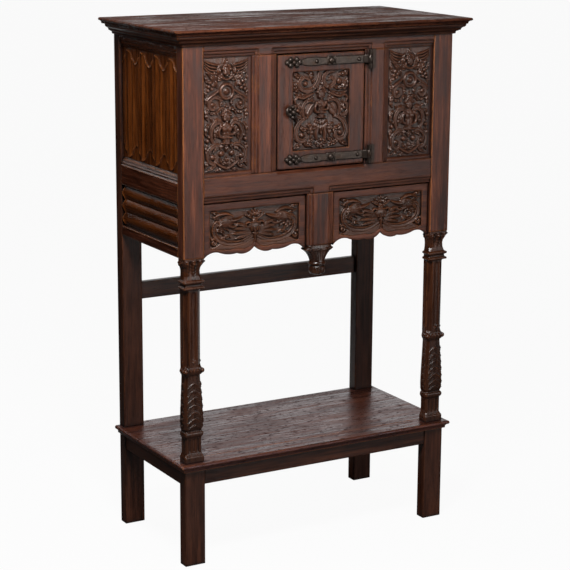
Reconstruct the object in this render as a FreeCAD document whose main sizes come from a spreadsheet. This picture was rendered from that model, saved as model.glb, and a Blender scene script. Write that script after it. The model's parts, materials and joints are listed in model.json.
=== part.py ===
import FreeCAD, Part
import math
import os
import re
import Sketcher

# Carved oak cabinet on a stand: a case with a door and two drawers on carved front columns.
# Millimetres. X runs along the width, the front faces -Y, Z is up, the floor is at Z = 0.

DIMENSIONS = {
    # whole object
    "total_height": 1400,
    "half_width": 403,
    "front_plane": -187,
    "back_plane": 211,
    # posts and legs
    "post_width": 58,
    "post_depth": 32,
    "leg_height": 260,
    # stand
    "platform_top": 281,
    "platform_overhang": 15,
    "platform_strip": 56,
    "apron_bottom": 219,
    "apron_thick": 22,
    "apron_setback": 3,
    "stretcher_bottom": 636,
    "stretcher_top": 683,
    "stretcher_thick": 18,
    # front column, heights above the floor
    "plinth_bevel": 299,
    "dado_bottom": 306,
    "dado_top": 349,
    "torus_top": 368,
    "belly_level": 392,
    "collar_bottom": 517,
    "shaft_bottom": 536,
    "shaft_top": 743,
    "ring_split": 759,
    "capital_bottom": 775,
    "case_bottom": 822,
    # front column, half widths
    "plinth_half": 27.5,
    "dado_half": 23,
    "torus_half": 27,
    "belly_half": 27,
    "neck_half": 22,
    "collar_half": 25,
    "shaft_half": 25,
    "ring_half": 27.5,
    "capital_half": 28.5,
    "shaft_recess": 4,
    "shaft_chamfer": 12,
    "dado_chamfer": 8,
    "flute_radius": 11,
    "flute_depth": 2.5,
    "flute_margin": 12,
    # case levels
    "drawer_level": 960,
    "sill_level": 1026,
    "sill_rise": 11,
    "bay_top": 1327,
    "cornice_bottom": 1357,
    "case_top": 1384,
    "top_overhang": 39,
    "top_back_overhang": 15,
    "top_split": -96,
    "cornice_stock": 60,
    # front frame
    "frame_thick": 28,
    "muntin_inner": 133.5,
    "muntin_outer": 205,
    "drawer_muntin_half": 40,
    "drawer_muntin_depth": 40,
    "stuck_width": 16,
    "stuck_band": 8,
    "stuck_depth": 3,
    "panel_recess": 10,
    "panel_thick": 14,
    "panel_tongue": 8,
    # side frames
    "side_thick": 24,
    "side_sill": 1034,
    "side_low_top": 960,
    "side_low_bottom": 848,
    "side_recess": 9,
    "side_panel_thick": 12,
    "cloth_height": 7,
    "cloth_edge": 1.5,
    "cloth_margin": 4,
    "cloth_drop": 34,
    # back, floor and runners
    "back_thick": 12,
    "back_recess": 4,
    "back_rail_bottom": 900,
    "floor_bottom": 1000,
    "floor_top": 1016,
    "floor_tongue": 6,
    "runner_bottom": 830,
    "runner_top": 845.5,
    "runner_width": 54,
    "guide_top": 872,
    # tenons
    "tenon_thick": 10,
    "tenon_long": 26,
    "tenon_shoulder": 6,
    # pendant under the drawer muntin
    "pendant_radius": 37,
    "pendant_flare": 44,
    "pendant_neck": 21,
    "pendant_ring": 24,
    "pendant_drum": 21.5,
    "pendant_neck_level": 786,
    "pendant_ring_level": 770,
    "pendant_foot": 741,
    # door
    "door_gap": 4,
    "door_recess": 5.5,
    "door_thick": 20,
    "door_border": 45,
    "door_sink": 9,
    "door_sill_bevel": 7,
    # strap hinges
    "strap_width": 22,
    "strap_thick": 3,
    "strap_reach": 84,
    "strap_upper": 1303,
    "strap_lower": 1053,
    "flower_long": 18,
    "flower_high": 8,
    "petal_radius": 8,
    "flower_thick": 5,
    "boss_radius": 8,
    "nail_radius": 4,
    "hinge_axis": 141,
    "hinge_stand": 6.5,
    "knuckle_radius": 6,
    "pin_radius": 3,
    "pin_clearance": 0.05,
    "knuckle_long": 13,
    "hinge_plate_width": 18,
    "knuckle_gap": 0.5,
    # latch
    "latch_x": -94,
    "latch_level": 1178,
    "knob_radius": 15,
    "knob_stand": 22,
    "spindle_radius": 4,
    "tongue_long": 58,
    "tongue_width": 14,
    "tongue_thick": 4,
    # drawers
    "drawer_gap": 3,
    "drawer_recess": 10,
    "drawer_front_thick": 12,
    "drawer_corner": 815,
    "drawer_peak": 829,
    "drawer_belly": 823,
    "drawer_cusp": 838,
    "drawer_sink": 6,
    "drawer_border": 19,
    "drawer_rim": 14,
    "drawer_side_bottom": 846,
    "drawer_side_top": 950,
    "drawer_wall": 10,
    "drawer_inset": 4,
    "drawer_back": 170,
    "drawer_floor": 852,
    "drawer_floor_thick": 8,
}

doc = FreeCAD.newDocument("CabinetOnStand")
sheet = doc.addObject("Spreadsheet::Sheet", "Dimensions")
for row, (alias, number) in enumerate(DIMENSIONS.items(), start=1):
    sheet.set(f"A{row}", alias)
    sheet.set(f"B{row}", str(number))
    sheet.setAlias(f"B{row}", alias)
doc.recompute()

parts = []


def formula(text):
    """The text with each dimension's name turned into a reference to the sheet."""
    def refer(word):
        name = word.group(0)
        return "Dimensions." + name if name in DIMENSIONS else name
    return re.sub(r"[a-z_]+", refer, str(text))


def number(text):
    """The value of an expression that uses the sheet's names."""
    return float(sheet.evalExpression(str(text)))


def bind(thing, prop, text):
    thing.setExpression(prop, formula(text))


def place(thing, x=0, y=0, z=0):
    for axis, text in zip("xyz", (x, y, z)):
        bind(thing, "Placement.Base." + axis, text)


def box(name, start, end):
    """A box between two corners, each given as three expressions."""
    solid = doc.addObject("Part::Box", name)
    for prop, low, high in zip(("Length", "Width", "Height"), start, end):
        bind(solid, prop, f"({high}) - ({low})")
    place(solid, *start)
    return solid


def cylinder(name, radius, height, centre, axis="z"):
    """A cylinder that starts at a centre and runs along +Z, or along +Y."""
    solid = doc.addObject("Part::Cylinder", name)
    bind(solid, "Radius", radius)
    bind(solid, "Height", height)
    if axis == "y":
        solid.Placement.Rotation = FreeCAD.Rotation(FreeCAD.Vector(1, 0, 0), -90)
    place(solid, *centre)
    return solid


def sphere(name, radius, centre):
    solid = doc.addObject("Part::Sphere", name)
    bind(solid, "Radius", radius)
    place(solid, *centre)
    return solid


def fuse(name, solids):
    if len(solids) == 1:
        return solids[0]
    joined = doc.addObject("Part::MultiFuse", name)
    joined.Shapes = solids
    joined.Refine = True
    return joined


def cut(name, base, tools):
    result = doc.addObject("Part::Cut", name)
    result.Base = base
    result.Tool = fuse(name + "_tool", tools)
    result.Refine = True
    return result


def keep(thing, label):
    """Names a finished sub-part and lists it for export."""
    thing.Label = label
    parts.append(thing)
    return thing


def arc_between(start, end, bulge):
    """The arc from start to end; bulge is the tangent of a quarter of its angle, left turns positive.

    Arcs run anticlockwise, so a right turn is drawn from its end back to its start.
    """
    chord = end - start
    middle = (start + end) * 0.5 + FreeCAD.Vector(chord.y, -chord.x, 0) * (0.5 * bulge)
    return Part.Arc(start, middle, end) if bulge > 0 else Part.Arc(end, middle, start)


def sketch_on(body, name, plane, offset, outline):
    """A closed outline of (x, y) or (x, y, bulge) steps on an origin plane, offset along its normal.

    Every corner is held to the sheet; a step's bulge bends the edge that leads to it.
    """
    sketch = body.newObject("Sketcher::SketchObject", name)
    support = [item for item in body.Origin.OriginFeatures if item.Role == plane][0]
    sketch.AttachmentSupport = [(support, "")]
    sketch.MapMode = "FlatFace"
    bind(sketch, "AttachmentOffset.Base.z", offset)
    corners = [FreeCAD.Vector(number(step[0]), number(step[1]), 0) for step in outline]
    bulges = [step[2] if len(step) > 2 else 0 for step in outline]
    count = len(corners)
    for index, bulge in enumerate(bulges):
        start, end = corners[index - 1], corners[index]
        edge = arc_between(start, end, bulge) if bulge else Part.LineSegment(start, end)
        sketch.addGeometry(edge, False)
    for index, step in enumerate(outline):
        following = (index + 1) % count
        last = 1 if bulges[index] < 0 else 2
        first = 2 if bulges[following] < 0 else 1
        sketch.addConstraint(Sketcher.Constraint("Coincident", index, last, following, first))
        for kind, text in (("DistanceX", step[0]), ("DistanceY", step[1])):
            row = sketch.addConstraint(Sketcher.Constraint(kind, -1, 1, index, last, number(text)))
            bind(sketch, f"Constraints[{row}]", text)
        if bulges[index]:
            sketch.addConstraint(Sketcher.Constraint("Radius", index, sketch.Geometry[index].Radius))
    return sketch


def pad(body, sketch, length, both_ways=False):
    feature = body.newObject("PartDesign::Pad", sketch.Name + "_pad")
    feature.Profile = sketch
    bind(feature, "Length", length)
    if both_ways:
        feature.SideType = "Symmetric"
    sketch.Visibility = False
    return feature


def pocket(body, sketch, length, both_ways=False, back=False):
    """A pocket that must take something away, whichever way its plane faces."""
    doc.recompute()
    before = body.Shape.Volume
    feature = body.newObject("PartDesign::Pocket", sketch.Name + "_pocket")
    feature.Profile = sketch
    bind(feature, "Length", length)
    feature.Reversed = back
    if both_ways:
        feature.SideType = "Symmetric"
    doc.recompute()
    if body.Shape.Volume > before - 1e-3:
        raise RuntimeError(sketch.Name + " cuts nothing")
    return feature


def prism(name, plane, offset, length, outline):
    """One padded outline as a body of its own."""
    body = doc.addObject("PartDesign::Body", name)
    pad(body, sketch_on(body, name + "_outline", plane, offset, outline), length)
    return body


def along_x(name, start, end, outline):
    return prism(name, "YZ_Plane", start, f"({end}) - ({start})", outline)


def along_y(name, start, end, outline):
    return prism(name, "XZ_Plane", f"-({end})", f"({end}) - ({start})", outline)


def along_z(name, start, end, outline):
    return prism(name, "XY_Plane", start, f"({end}) - ({start})", outline)


def sided(side, near, far):
    """Two X expressions in rising order, for the left (-1) or the right (1) of the middle."""
    return (f"-({far})", f"-({near})") if side < 0 else (near, far)


SIDES = {"left": -1, "right": 1}
POST_INNER = "half_width - post_width"
FRONT_POST_BACK = "front_plane + post_depth"
REAR_POST_FRONT = "back_plane - post_depth"
TENON_FRONT = "front_plane + frame_thick / 2 - tenon_thick / 2"
TENON_BACK = "front_plane + frame_thick / 2 + tenon_thick / 2"
SIDE_TENON_OUT = "half_width - side_thick / 2 + tenon_thick / 2"
SIDE_TENON_IN = "half_width - side_thick / 2 - tenon_thick / 2"
REAR_TENON_FRONT = "back_plane - side_thick / 2 - tenon_thick / 2"
REAR_TENON_BACK = "back_plane - side_thick / 2 + tenon_thick / 2"
PANEL_FRONT = "front_plane + panel_recess"
PANEL_BACK = "front_plane + panel_recess + panel_thick"


# Solids that one piece holds and another is cut to receive


def front_tenon(name, side, low, high):
    """A rail's tenon in a front post."""
    start, end = sided(side, POST_INNER, f"{POST_INNER} + tenon_long")
    return box(name, (start, TENON_FRONT, f"{low} + tenon_shoulder"),
               (end, TENON_BACK, f"{high} - tenon_shoulder"))


def side_tenon(name, side, front, low, high):
    """A side rail's tenon in a front or rear post."""
    start, end = sided(side, SIDE_TENON_IN, SIDE_TENON_OUT)
    if front:
        depth = (f"{FRONT_POST_BACK} - tenon_long / 2", FRONT_POST_BACK)
    else:
        depth = (REAR_POST_FRONT, f"{REAR_POST_FRONT} + tenon_long / 2")
    return box(name, (start, depth[0], f"{low} + tenon_shoulder"),
               (end, depth[1], f"{high} - tenon_shoulder"))


def rear_tenon(name, side, low, high):
    """A rear rail's tenon in a rear post."""
    start, end = sided(side, POST_INNER, f"{POST_INNER} + tenon_long")
    return box(name, (start, REAR_TENON_FRONT, f"{low} + tenon_shoulder"),
               (end, REAR_TENON_BACK, f"{high} - tenon_shoulder"))


def front_panel_blank(name, side):
    """A front panel with its tongues."""
    start, end = sided(side, "muntin_outer - panel_tongue", f"{POST_INNER} + panel_tongue")
    return box(name, (start, PANEL_FRONT, "sill_level - panel_tongue"),
               (end, PANEL_BACK, "bay_top + panel_tongue"))


def side_panel_blank(name, side, low, high):
    """A side panel with its tongues."""
    start, end = sided(side, "half_width - side_recess - side_panel_thick", "half_width - side_recess")
    return box(name, (start, f"{FRONT_POST_BACK} - panel_tongue", f"{low} - panel_tongue"),
               (end, f"{REAR_POST_FRONT} + panel_tongue", f"{high} + panel_tongue"))


def back_panel_blank(name, start, end):
    """Back boards with their tongues."""
    return box(name, (start, "back_plane - back_recess - back_thick", "back_rail_bottom - panel_tongue"),
               (end, "back_plane - back_recess", "bay_top + panel_tongue"))


def floor_blank(name):
    """The cupboard floor with its tongues in the side rails and the front middle rail."""
    reach = "half_width - side_thick + floor_tongue"
    board = box(name + "_board", (f"-({reach})", FRONT_POST_BACK, "floor_bottom"),
                (reach, REAR_POST_FRONT, "floor_top"))
    lip = box(name + "_lip",
              (f"-({POST_INNER})", "front_plane + frame_thick - floor_tongue", "floor_bottom"),
              (POST_INNER, FRONT_POST_BACK, "floor_top"))
    return fuse(name, [board, lip])


def muntin_tenon(name, side, low, high):
    """A muntin's stub tenon in the rail above or below."""
    start, end = sided(side, "muntin_inner + stuck_width", "muntin_outer - stuck_width")
    return box(name, (start, TENON_FRONT, low), (end, TENON_BACK, high))


def drawer_muntin_tenon(name):
    half = "drawer_muntin_half - stuck_width"
    return box(name, (f"-({half})", TENON_FRONT, "drawer_level"),
               (half, TENON_BACK, "drawer_level + tenon_long / 2"))


def stuck_edges(name):
    """The stepped mouldings worked round the bays and over the drawers, as the wood taken away."""
    bays = {
        "left_bay": (f"-({POST_INNER})", "-muntin_outer", "sill_level", "bay_top", (0, 1)),
        "door_bay": ("-muntin_inner", "muntin_inner", "sill_level", "bay_top", (1, 1)),
        "right_bay": ("muntin_outer", POST_INNER, "sill_level", "bay_top", (1, 0)),
        "left_drawer": (f"-({POST_INNER})", "-drawer_muntin_half", "case_bottom", "drawer_level", (0, 1)),
        "right_drawer": ("drawer_muntin_half", POST_INNER, "case_bottom", "drawer_level", (1, 0)),
    }
    steps = {"outer": ("stuck_width", "stuck_depth"), "inner": ("stuck_band", "2 * stuck_depth")}
    cutters = []
    for bay, (left, right, low, high, worked) in bays.items():
        for step, (width, depth) in steps.items():
            start = f"{left} - {worked[0]} * {width}"
            end = f"{right} + {worked[1]} * {width}"
            cutters.append(box(f"{name}_{bay}_{step}", (start, "front_plane", low),
                               (end, f"front_plane + {depth}", f"{high} + {width}")))
    return cutters


# Base legs and aprons

for side_name, side in SIDES.items():
    for end_name, depth in (("front", ("front_plane", FRONT_POST_BACK)),
                            ("rear", (REAR_POST_FRONT, "back_plane"))):
        start, end = sided(side, POST_INNER, "half_width")
        label = f"base_leg_{end_name}_{side_name}"
        leg = box(label, (start, depth[0], "0"), (end, depth[1], "leg_height"))
        keep(leg, label)
    out, inner = "half_width - apron_setback", "half_width - apron_setback - apron_thick"
    start, end = sided(side, inner, out)
    keep(box(f"base_apron_{side_name}", (start, FRONT_POST_BACK, "apron_bottom"),
             (end, REAR_POST_FRONT, "leg_height")), f"base_apron_{side_name}")

for end_name, face in (("front", "front_plane + apron_setback"),
                       ("rear", "back_plane - apron_setback - apron_thick")):
    label = f"base_apron_{end_name}"
    keep(box(label, (f"-({POST_INNER})", face, "apron_bottom"),
             (POST_INNER, f"{face} + apron_thick", "leg_height")), label)


# Platform: the moulded edge is a rounded nose over a hollow and a small fillet


def edge_hollow(reach, low, high, sign):
    """What a moulded edge loses: the space outside its nose, hollow and fillet."""
    thick = f"({high} - ({low}))"
    return [
        (f"{sign} * ({reach} + 1)", f"{low} - 1"),
        (f"{sign} * ({reach} + 1)", f"{high} + 1"),
        (f"{sign} * ({reach} - 5)", f"{high} + 1"),
        (f"{sign} * ({reach} - 5)", high),
        (f"{sign} * {reach}", f"{high} - 0.24 * {thick}", -0.41 * sign),
        (f"{sign} * ({reach} - 3)", f"{low} + 0.52 * {thick}", -0.3 * sign),
        (f"{sign} * ({reach} - 9)", f"{low} + 0.15 * {thick}", 0.35 * sign),
        (f"{sign} * ({reach} - 9)", f"{low} - 1"),
    ]


def moulded_board(label, depth, low, high, overhang, front):
    """A board moulded on both ends and, where it is the first one, along the front."""
    reach = f"(half_width + {overhang})"
    blank = box(label + "_blank", (f"-{reach}", depth[0], low), (reach, depth[1], high))
    cutters = []
    for sign in (-1, 1):
        cutters.append(along_y(f"{label}_end_{'left' if sign < 0 else 'right'}",
                               f"{depth[0]} - 1", f"{depth[1]} + 1", edge_hollow(reach, low, high, sign)))
    if front:
        nose = f"({overhang} - front_plane)"
        cutters.append(along_x(label + "_nose", f"-{reach} - 1", f"{reach} + 1",
                               edge_hollow(nose, low, high, -1)))
    return keep(cut(label + "_cut", blank, cutters), label)


PLATFORM_SEAM = "front_plane - platform_overhang + platform_strip"
moulded_board("platform_front_strip", ("front_plane - platform_overhang", PLATFORM_SEAM),
              "leg_height", "platform_top", "platform_overhang", True)
moulded_board("platform_board", (PLATFORM_SEAM, "back_plane"),
              "leg_height", "platform_top", "platform_overhang", False)


# Front columns: a flat-backed carved support, drawn from its front and side outlines


def column_outline():
    """Half width against height, from the plinth up to the case."""
    return [
        ("plinth_half", "platform_top"),
        ("plinth_half", "plinth_bevel"),
        ("dado_half", "dado_bottom", 0.3),
        ("dado_half", "dado_top"),
        ("torus_half", "dado_top + 9", 0.3),
        ("neck_half", "torus_top", 0.4),
        ("belly_half", "belly_level", 0.25),
        ("neck_half", "0.45 * collar_bottom + 0.55 * belly_level", -0.12),
        ("neck_half", "collar_bottom"),
        ("collar_half", "collar_bottom + 6"),
        ("collar_half", "shaft_bottom"),
        ("shaft_half", "shaft_bottom"),
        ("shaft_half", "shaft_top"),
        ("ring_half", "shaft_top + 3"),
        ("ring_half", "ring_split - 3", 0.6),
        ("shaft_half", "ring_split"),
        ("ring_half", "ring_split + 3"),
        ("ring_half", "capital_bottom - 3", 0.6),
        ("neck_half", "capital_bottom"),
        ("capital_half", "case_bottom - 8", -0.2),
        ("capital_half", "case_bottom"),
    ]


def clean(steps):
    """The steps without a corner that repeats the one before it."""
    kept = [steps[0]]
    for step in steps[1:]:
        here = [number(step[0]), number(step[1])]
        last = [number(kept[-1][0]), number(kept[-1][1])]
        if math.dist(here, last) > 1e-6:
            kept.append(step)
    return kept


def mirrored(steps):
    """The same outline on the other side of the middle line, running back down."""
    back = []
    for index in range(len(steps) - 1, -1, -1):
        bend = steps[index + 1][2] if index + 1 < len(steps) and len(steps[index + 1]) > 2 else 0
        back.append((f"-({steps[index][0]})", steps[index][1], bend))
    return back


def make_column(label):
    right = clean(column_outline())
    body = doc.addObject("PartDesign::Body", label)
    front = sketch_on(body, label + "_front", "XZ_Plane", "-post_depth", right + mirrored(right))
    pad(body, front, "post_depth + 4")
    reach = "(post_depth + 10)"
    side_steps = [(f"post_width / 2 - ({x}) - 2" if x != "shaft_half" else "shaft_recess", *rest)
                  for x, *rest in right]
    flipped = [(step[0], step[1], -step[2]) if len(step) > 2 else step for step in side_steps]
    trim = clean(flipped) + [(f"-{reach}", "case_bottom"), (f"-{reach}", "platform_top")]
    pocket(body, sketch_on(body, label + "_side", "YZ_Plane", "0", trim), "3 * post_width", both_ways=True)
    for name, half, recess, chamfer, low, high in (
            ("shaft", "shaft_half", "shaft_recess", "shaft_chamfer", "shaft_bottom", "shaft_top"),
            ("dado", "dado_half", "post_width / 2 - dado_half - 2", "dado_chamfer",
             "dado_bottom", "dado_top")):
        for sign in (-1, 1):
            corner = [(f"{sign} * ({half} + 9)", f"{recess} - 9"),
                      (f"{sign} * ({half} + 9)", f"{recess} + {chamfer} + 9"),
                      (f"{sign} * ({half} - {chamfer} - 9)", f"{recess} - 9")]
            sketch = sketch_on(body, f"{label}_{name}_corner_{'left' if sign < 0 else 'right'}",
                               "XY_Plane", high, corner)
            pocket(body, sketch, f"{high} - {low}")
    doc.recompute()
    return body


def flute(name, x, y):
    """A round-ended hollow down the shaft, about a vertical axis in front of its face."""
    low = "shaft_bottom + flute_margin"
    high = "shaft_top - flute_margin"
    return fuse(name, [
        cylinder(name + "_run", "flute_radius", f"{high} - ({low})", (x, y, low)),
        sphere(name + "_foot", "flute_radius", (x, y, low)),
        sphere(name + "_head", "flute_radius", (x, y, high)),
    ])


for side_name, side in SIDES.items():
    label = f"column_front_{side_name}"
    body = make_column(label + "_body")
    stand_off = "(flute_radius - flute_depth)"
    slant = f"({stand_off} * sqrt(0.5))"
    flutes = [flute(label + "_flute_front", "0", f"shaft_recess - {stand_off}")]
    for sign in (-1, 1):
        flutes.append(flute(f"{label}_flute_{'left' if sign < 0 else 'right'}",
                            f"{sign} * (shaft_half - shaft_chamfer / 2 + {slant})",
                            f"shaft_recess + shaft_chamfer / 2 - {slant}"))
    column = keep(cut(label, body, flutes), label)
    place(column, f"{side} * (half_width - post_width / 2)", "front_plane", 0)


# Case posts

SIDE_RAILS = {
    "top": ("bay_top", "case_top"),
    "middle": ("side_low_top", "side_sill"),
    "bottom": ("case_bottom", "side_low_bottom"),
}
SIDE_PANELS = {"upper": ("side_sill", "bay_top"), "lower": ("side_low_bottom", "side_low_top")}
FRONT_RAILS = {"top": ("bay_top", "case_top"), "middle": ("drawer_level", "sill_level")}
REAR_RAILS = {"top": ("bay_top", "case_top"), "bottom": ("case_bottom", "back_rail_bottom")}


def side_joints(name, side, front):
    """Everything of a side frame that enters a post."""
    joints = [side_tenon(f"{name}_{rail}_tenon", side, front, low, high)
              for rail, (low, high) in SIDE_RAILS.items()]
    joints += [side_panel_blank(f"{name}_{panel}_panel", side, low, high)
               for panel, (low, high) in SIDE_PANELS.items()]
    return joints


for side_name, side in SIDES.items():
    start, end = sided(side, POST_INNER, "half_width")
    label = f"post_front_{side_name}"
    blank = box(label + "_blank", (start, "front_plane", "case_bottom"), (end, FRONT_POST_BACK, "case_top"))
    joints = side_joints(label, side, True)
    joints += [front_tenon(f"{label}_{rail}_mortise", side, low, high)
               for rail, (low, high) in FRONT_RAILS.items()]
    joints.append(front_panel_blank(label + "_panel", side))
    keep(cut(label + "_cut", blank, joints), label)

    label = f"post_rear_{side_name}"
    blank = box(label + "_blank", (start, REAR_POST_FRONT, "platform_top"), (end, "back_plane", "case_top"))
    joints = side_joints(label, side, False)
    joints += [rear_tenon(f"{label}_{rail}_mortise", side, low, high)
               for rail, (low, high) in REAR_RAILS.items()]
    joints.append(back_panel_blank(label + "_boards", f"-({POST_INNER} + panel_tongue)",
                                   f"{POST_INNER} + panel_tongue"))
    joints.append(rear_tenon(label + "_stretcher_mortise", side, "stretcher_bottom", "stretcher_top"))
    keep(cut(label + "_cut", blank, joints), label)

stretcher_front = "back_plane - side_thick / 2 - stretcher_thick / 2"
stretcher = box("rear_stretcher_bar", (f"-({POST_INNER})", stretcher_front, "stretcher_bottom"),
                (POST_INNER, f"{stretcher_front} + stretcher_thick", "stretcher_top"))
ends = [rear_tenon(f"rear_stretcher_tenon_{side_name}", side, "stretcher_bottom", "stretcher_top")
        for side_name, side in SIDES.items()]
keep(fuse("rear_stretcher", [stretcher] + ends), "rear_stretcher")


# Front frame: rails, muntins, panels

stuck = stuck_edges("stuck")
panel_blanks = [front_panel_blank(f"front_panel_groove_{side_name}", side)
                for side_name, side in SIDES.items()]


def sill_wedge(name, side):
    """The sloping sill that closes the foot of a panel bay."""
    start, end = sided(side, "muntin_outer", POST_INNER)
    return along_x(name, start, end, [
        ("front_plane", "sill_level"),
        (PANEL_FRONT, "sill_level"),
        (PANEL_FRONT, "sill_level + sill_rise"),
    ])


def door_sill_waste(name):
    """The corner planed off the middle rail under the door."""
    return along_x(name, "-muntin_inner", "muntin_inner", [
        ("front_plane", "sill_level"),
        ("front_plane", "sill_level - door_sill_bevel"),
        ("front_plane + door_recess", "sill_level"),
    ])


for rail, (low, high) in FRONT_RAILS.items():
    label = f"front_{rail}_rail"
    pieces = [box(label + "_bar", (f"-({POST_INNER})", "front_plane", low),
                  (POST_INNER, "front_plane + frame_thick", high))]
    pieces += [front_tenon(f"{label}_tenon_{side_name}", side, low, high)
               for side_name, side in SIDES.items()]
    if rail == "top":
        mortises = [muntin_tenon(f"{label}_mortise_{side_name}", side,
                                 "bay_top", "bay_top + tenon_long / 2")
                    for side_name, side in SIDES.items()]
    else:
        pieces += [sill_wedge(f"{label}_sill_{side_name}", side) for side_name, side in SIDES.items()]
        mortises = [muntin_tenon(f"{label}_mortise_{side_name}", side,
                                 "sill_level - tenon_long / 2", "sill_level")
                    for side_name, side in SIDES.items()]
        mortises += [drawer_muntin_tenon(label + "_drawer_mortise"),
                     floor_blank(label + "_floor_groove"), door_sill_waste(label + "_door_sill")]
    keep(cut(label, fuse(label + "_solid", pieces), mortises + panel_blanks + stuck), label)

for side_name, side in SIDES.items():
    label = f"front_muntin_{side_name}"
    start, end = sided(side, "muntin_inner", "muntin_outer")
    pieces = [
        box(label + "_bar", (start, "front_plane", "sill_level"),
            (end, "front_plane + frame_thick", "bay_top")),
        muntin_tenon(label + "_foot", side, "sill_level - tenon_long / 2", "sill_level"),
        muntin_tenon(label + "_head", side, "bay_top", "bay_top + tenon_long / 2"),
    ]
    keep(cut(label, fuse(label + "_solid", pieces), panel_blanks + stuck), label)
    label = f"front_panel_{side_name}"
    keep(front_panel_blank(label, side), label)

muntin = fuse("drawer_muntin_solid", [
    box("drawer_muntin_bar", ("-drawer_muntin_half", "front_plane", "case_bottom"),
        ("drawer_muntin_half", "front_plane + drawer_muntin_depth", "drawer_level")),
    drawer_muntin_tenon("drawer_muntin_tenon"),
])
keep(cut("drawer_muntin", muntin, stuck), "drawer_muntin")

pendant = doc.addObject("PartDesign::Body", "pendant_body")
profile = sketch_on(pendant, "pendant_profile", "XZ_Plane", "0", [
    ("0", "pendant_foot"),
    ("0.65 * pendant_drum", "pendant_foot"),
    ("pendant_drum", "pendant_foot + 8", 0.35),
    ("pendant_drum", "pendant_ring_level - 7"),
    ("pendant_drum - 3", "pendant_ring_level - 3", 0.25),
    ("pendant_ring", "pendant_ring_level - 2"),
    ("pendant_ring", "pendant_ring_level + 4", 0.6),
    ("pendant_neck", "pendant_ring_level + 6"),
    ("pendant_neck + 2", "pendant_neck_level"),
    ("pendant_flare", "drawer_corner - 8", -0.2),
    ("pendant_flare", "drawer_corner - 4", 0.4),
    ("pendant_radius", "drawer_corner - 2"),
    ("pendant_radius", "case_bottom"),
    ("0", "case_bottom"),
])
turning = pendant.newObject("PartDesign::Revolution", "pendant_turning")
turning.Profile = profile
turning.ReferenceAxis = (profile, ["V_Axis"])
turning.Angle = 360
place(pendant, 0, "front_plane + drawer_muntin_depth / 2", 0)
pendant_limits = box("pendant_limits",
                     ("-pendant_flare - 3", "front_plane - 2", "pendant_foot - 1"),
                     ("pendant_flare + 3", "front_plane + drawer_muntin_depth + 2", "case_bottom + 1"))
drop = doc.addObject("Part::Common", "pendant_drop")
drop.Base = pendant
drop.Tool = pendant_limits
keep(drop, "centre_pendant")


# Side frames: moulded rails and linenfold panels


def linenfold(name, side, low, high, folds, lying):
    """Folded cloth raised on a side panel: hollow-sided ridges whose ends run to points.

    Upright folds run up the panel; lying folds run from the front to the back.
    """
    face = f"({side} * (half_width - side_recess))"
    depth_span = (f"({FRONT_POST_BACK} + cloth_margin)", f"({REAR_POST_FRONT} - cloth_margin)")
    height_span = (f"({low} + cloth_margin)", f"({high} - cloth_margin)")
    across, along = (height_span, depth_span) if lying else (depth_span, height_span)
    pitch = f"(({across[1]} - {across[0]}) / {folds})"
    turn = -side if lying else side
    section = [(face, across[0])]
    for index in range(folds):
        valley = f"{across[0]} + {index} * {pitch}"
        section.append((f"{face} + {side} * cloth_edge", valley))
        section.append((f"{face} + {side} * (cloth_height - 1)", f"{valley} + 0.4 * {pitch}", -0.1 * turn))
        section.append((f"{face} + {side} * (cloth_height - 1)", f"{valley} + 0.6 * {pitch}", 0.12 * turn))
        section.append((f"{face} + {side} * cloth_edge", f"{valley} + {pitch}", -0.1 * turn))
    section.append((face, across[1]))
    section = clean(section)
    body = doc.addObject("PartDesign::Body", name)
    run = f"{along[1]} - {along[0]}"
    if lying:
        pad(body, sketch_on(body, name + "_section", "XZ_Plane", f"-{along[1]}", section), run)
    else:
        pad(body, sketch_on(body, name + "_section", "XY_Plane", along[0], section), run)
    for end_name, tip, inward in (("near", along[0], 1), ("far", along[1], -1)):
        points = []
        for index in range(folds):
            valley = f"{across[0]} + {index} * {pitch}"
            points.append((valley, f"{tip} + {inward} * cloth_drop"))
            points.append((f"{valley} + 0.5 * {pitch}", tip))
        points.append((across[1], f"{tip} + {inward} * cloth_drop"))
        points.append((f"{across[1]} + 3", f"{tip} + {inward} * cloth_drop"))
        points.append((f"{across[1]} + 3", f"{tip} - {inward} * 3"))
        points.append((f"{across[0]} - 3", f"{tip} - {inward} * 3"))
        points.append((f"{across[0]} - 3", f"{tip} + {inward} * cloth_drop"))
        outline = [(v, u) for u, v in points] if lying else points
        sketch = sketch_on(body, f"{name}_{end_name}_points", "YZ_Plane", face, outline)
        pocket(body, sketch, "8 * cloth_height", both_ways=True)
    return body


def side_section(side, rail, low, high):
    """A side rail's cross section, with the mouldings worked on its edge."""
    out = f"{side} * half_width"
    inner = f"{side} * (half_width - side_thick)"
    steps = [(inner, high), (inner, low)]
    if rail == "top":
        steps += [
            (f"{out} - {side} * 2 * stuck_depth", low),
            (f"{out} - {side} * 2 * stuck_depth", f"{low} + stuck_band"),
            (f"{out} - {side} * stuck_depth", f"{low} + stuck_band"),
            (f"{out} - {side} * stuck_depth", f"{low} + stuck_width"),
            (out, f"{low} + stuck_width"),
            (out, high),
        ]
    elif rail == "middle":
        steps += [
            (out, low),
            (out, f"{high} - 21"),
            (f"{out} - {side} * 1", f"{high} - 14", -0.7 * side),
            (f"{out} - {side} * 3", f"{high} - 7", -0.7 * side),
            (f"{out} - {side} * 7", high, -0.7 * side),
        ]
    else:
        steps += [(out, low), (out, high)]
    return steps


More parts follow.
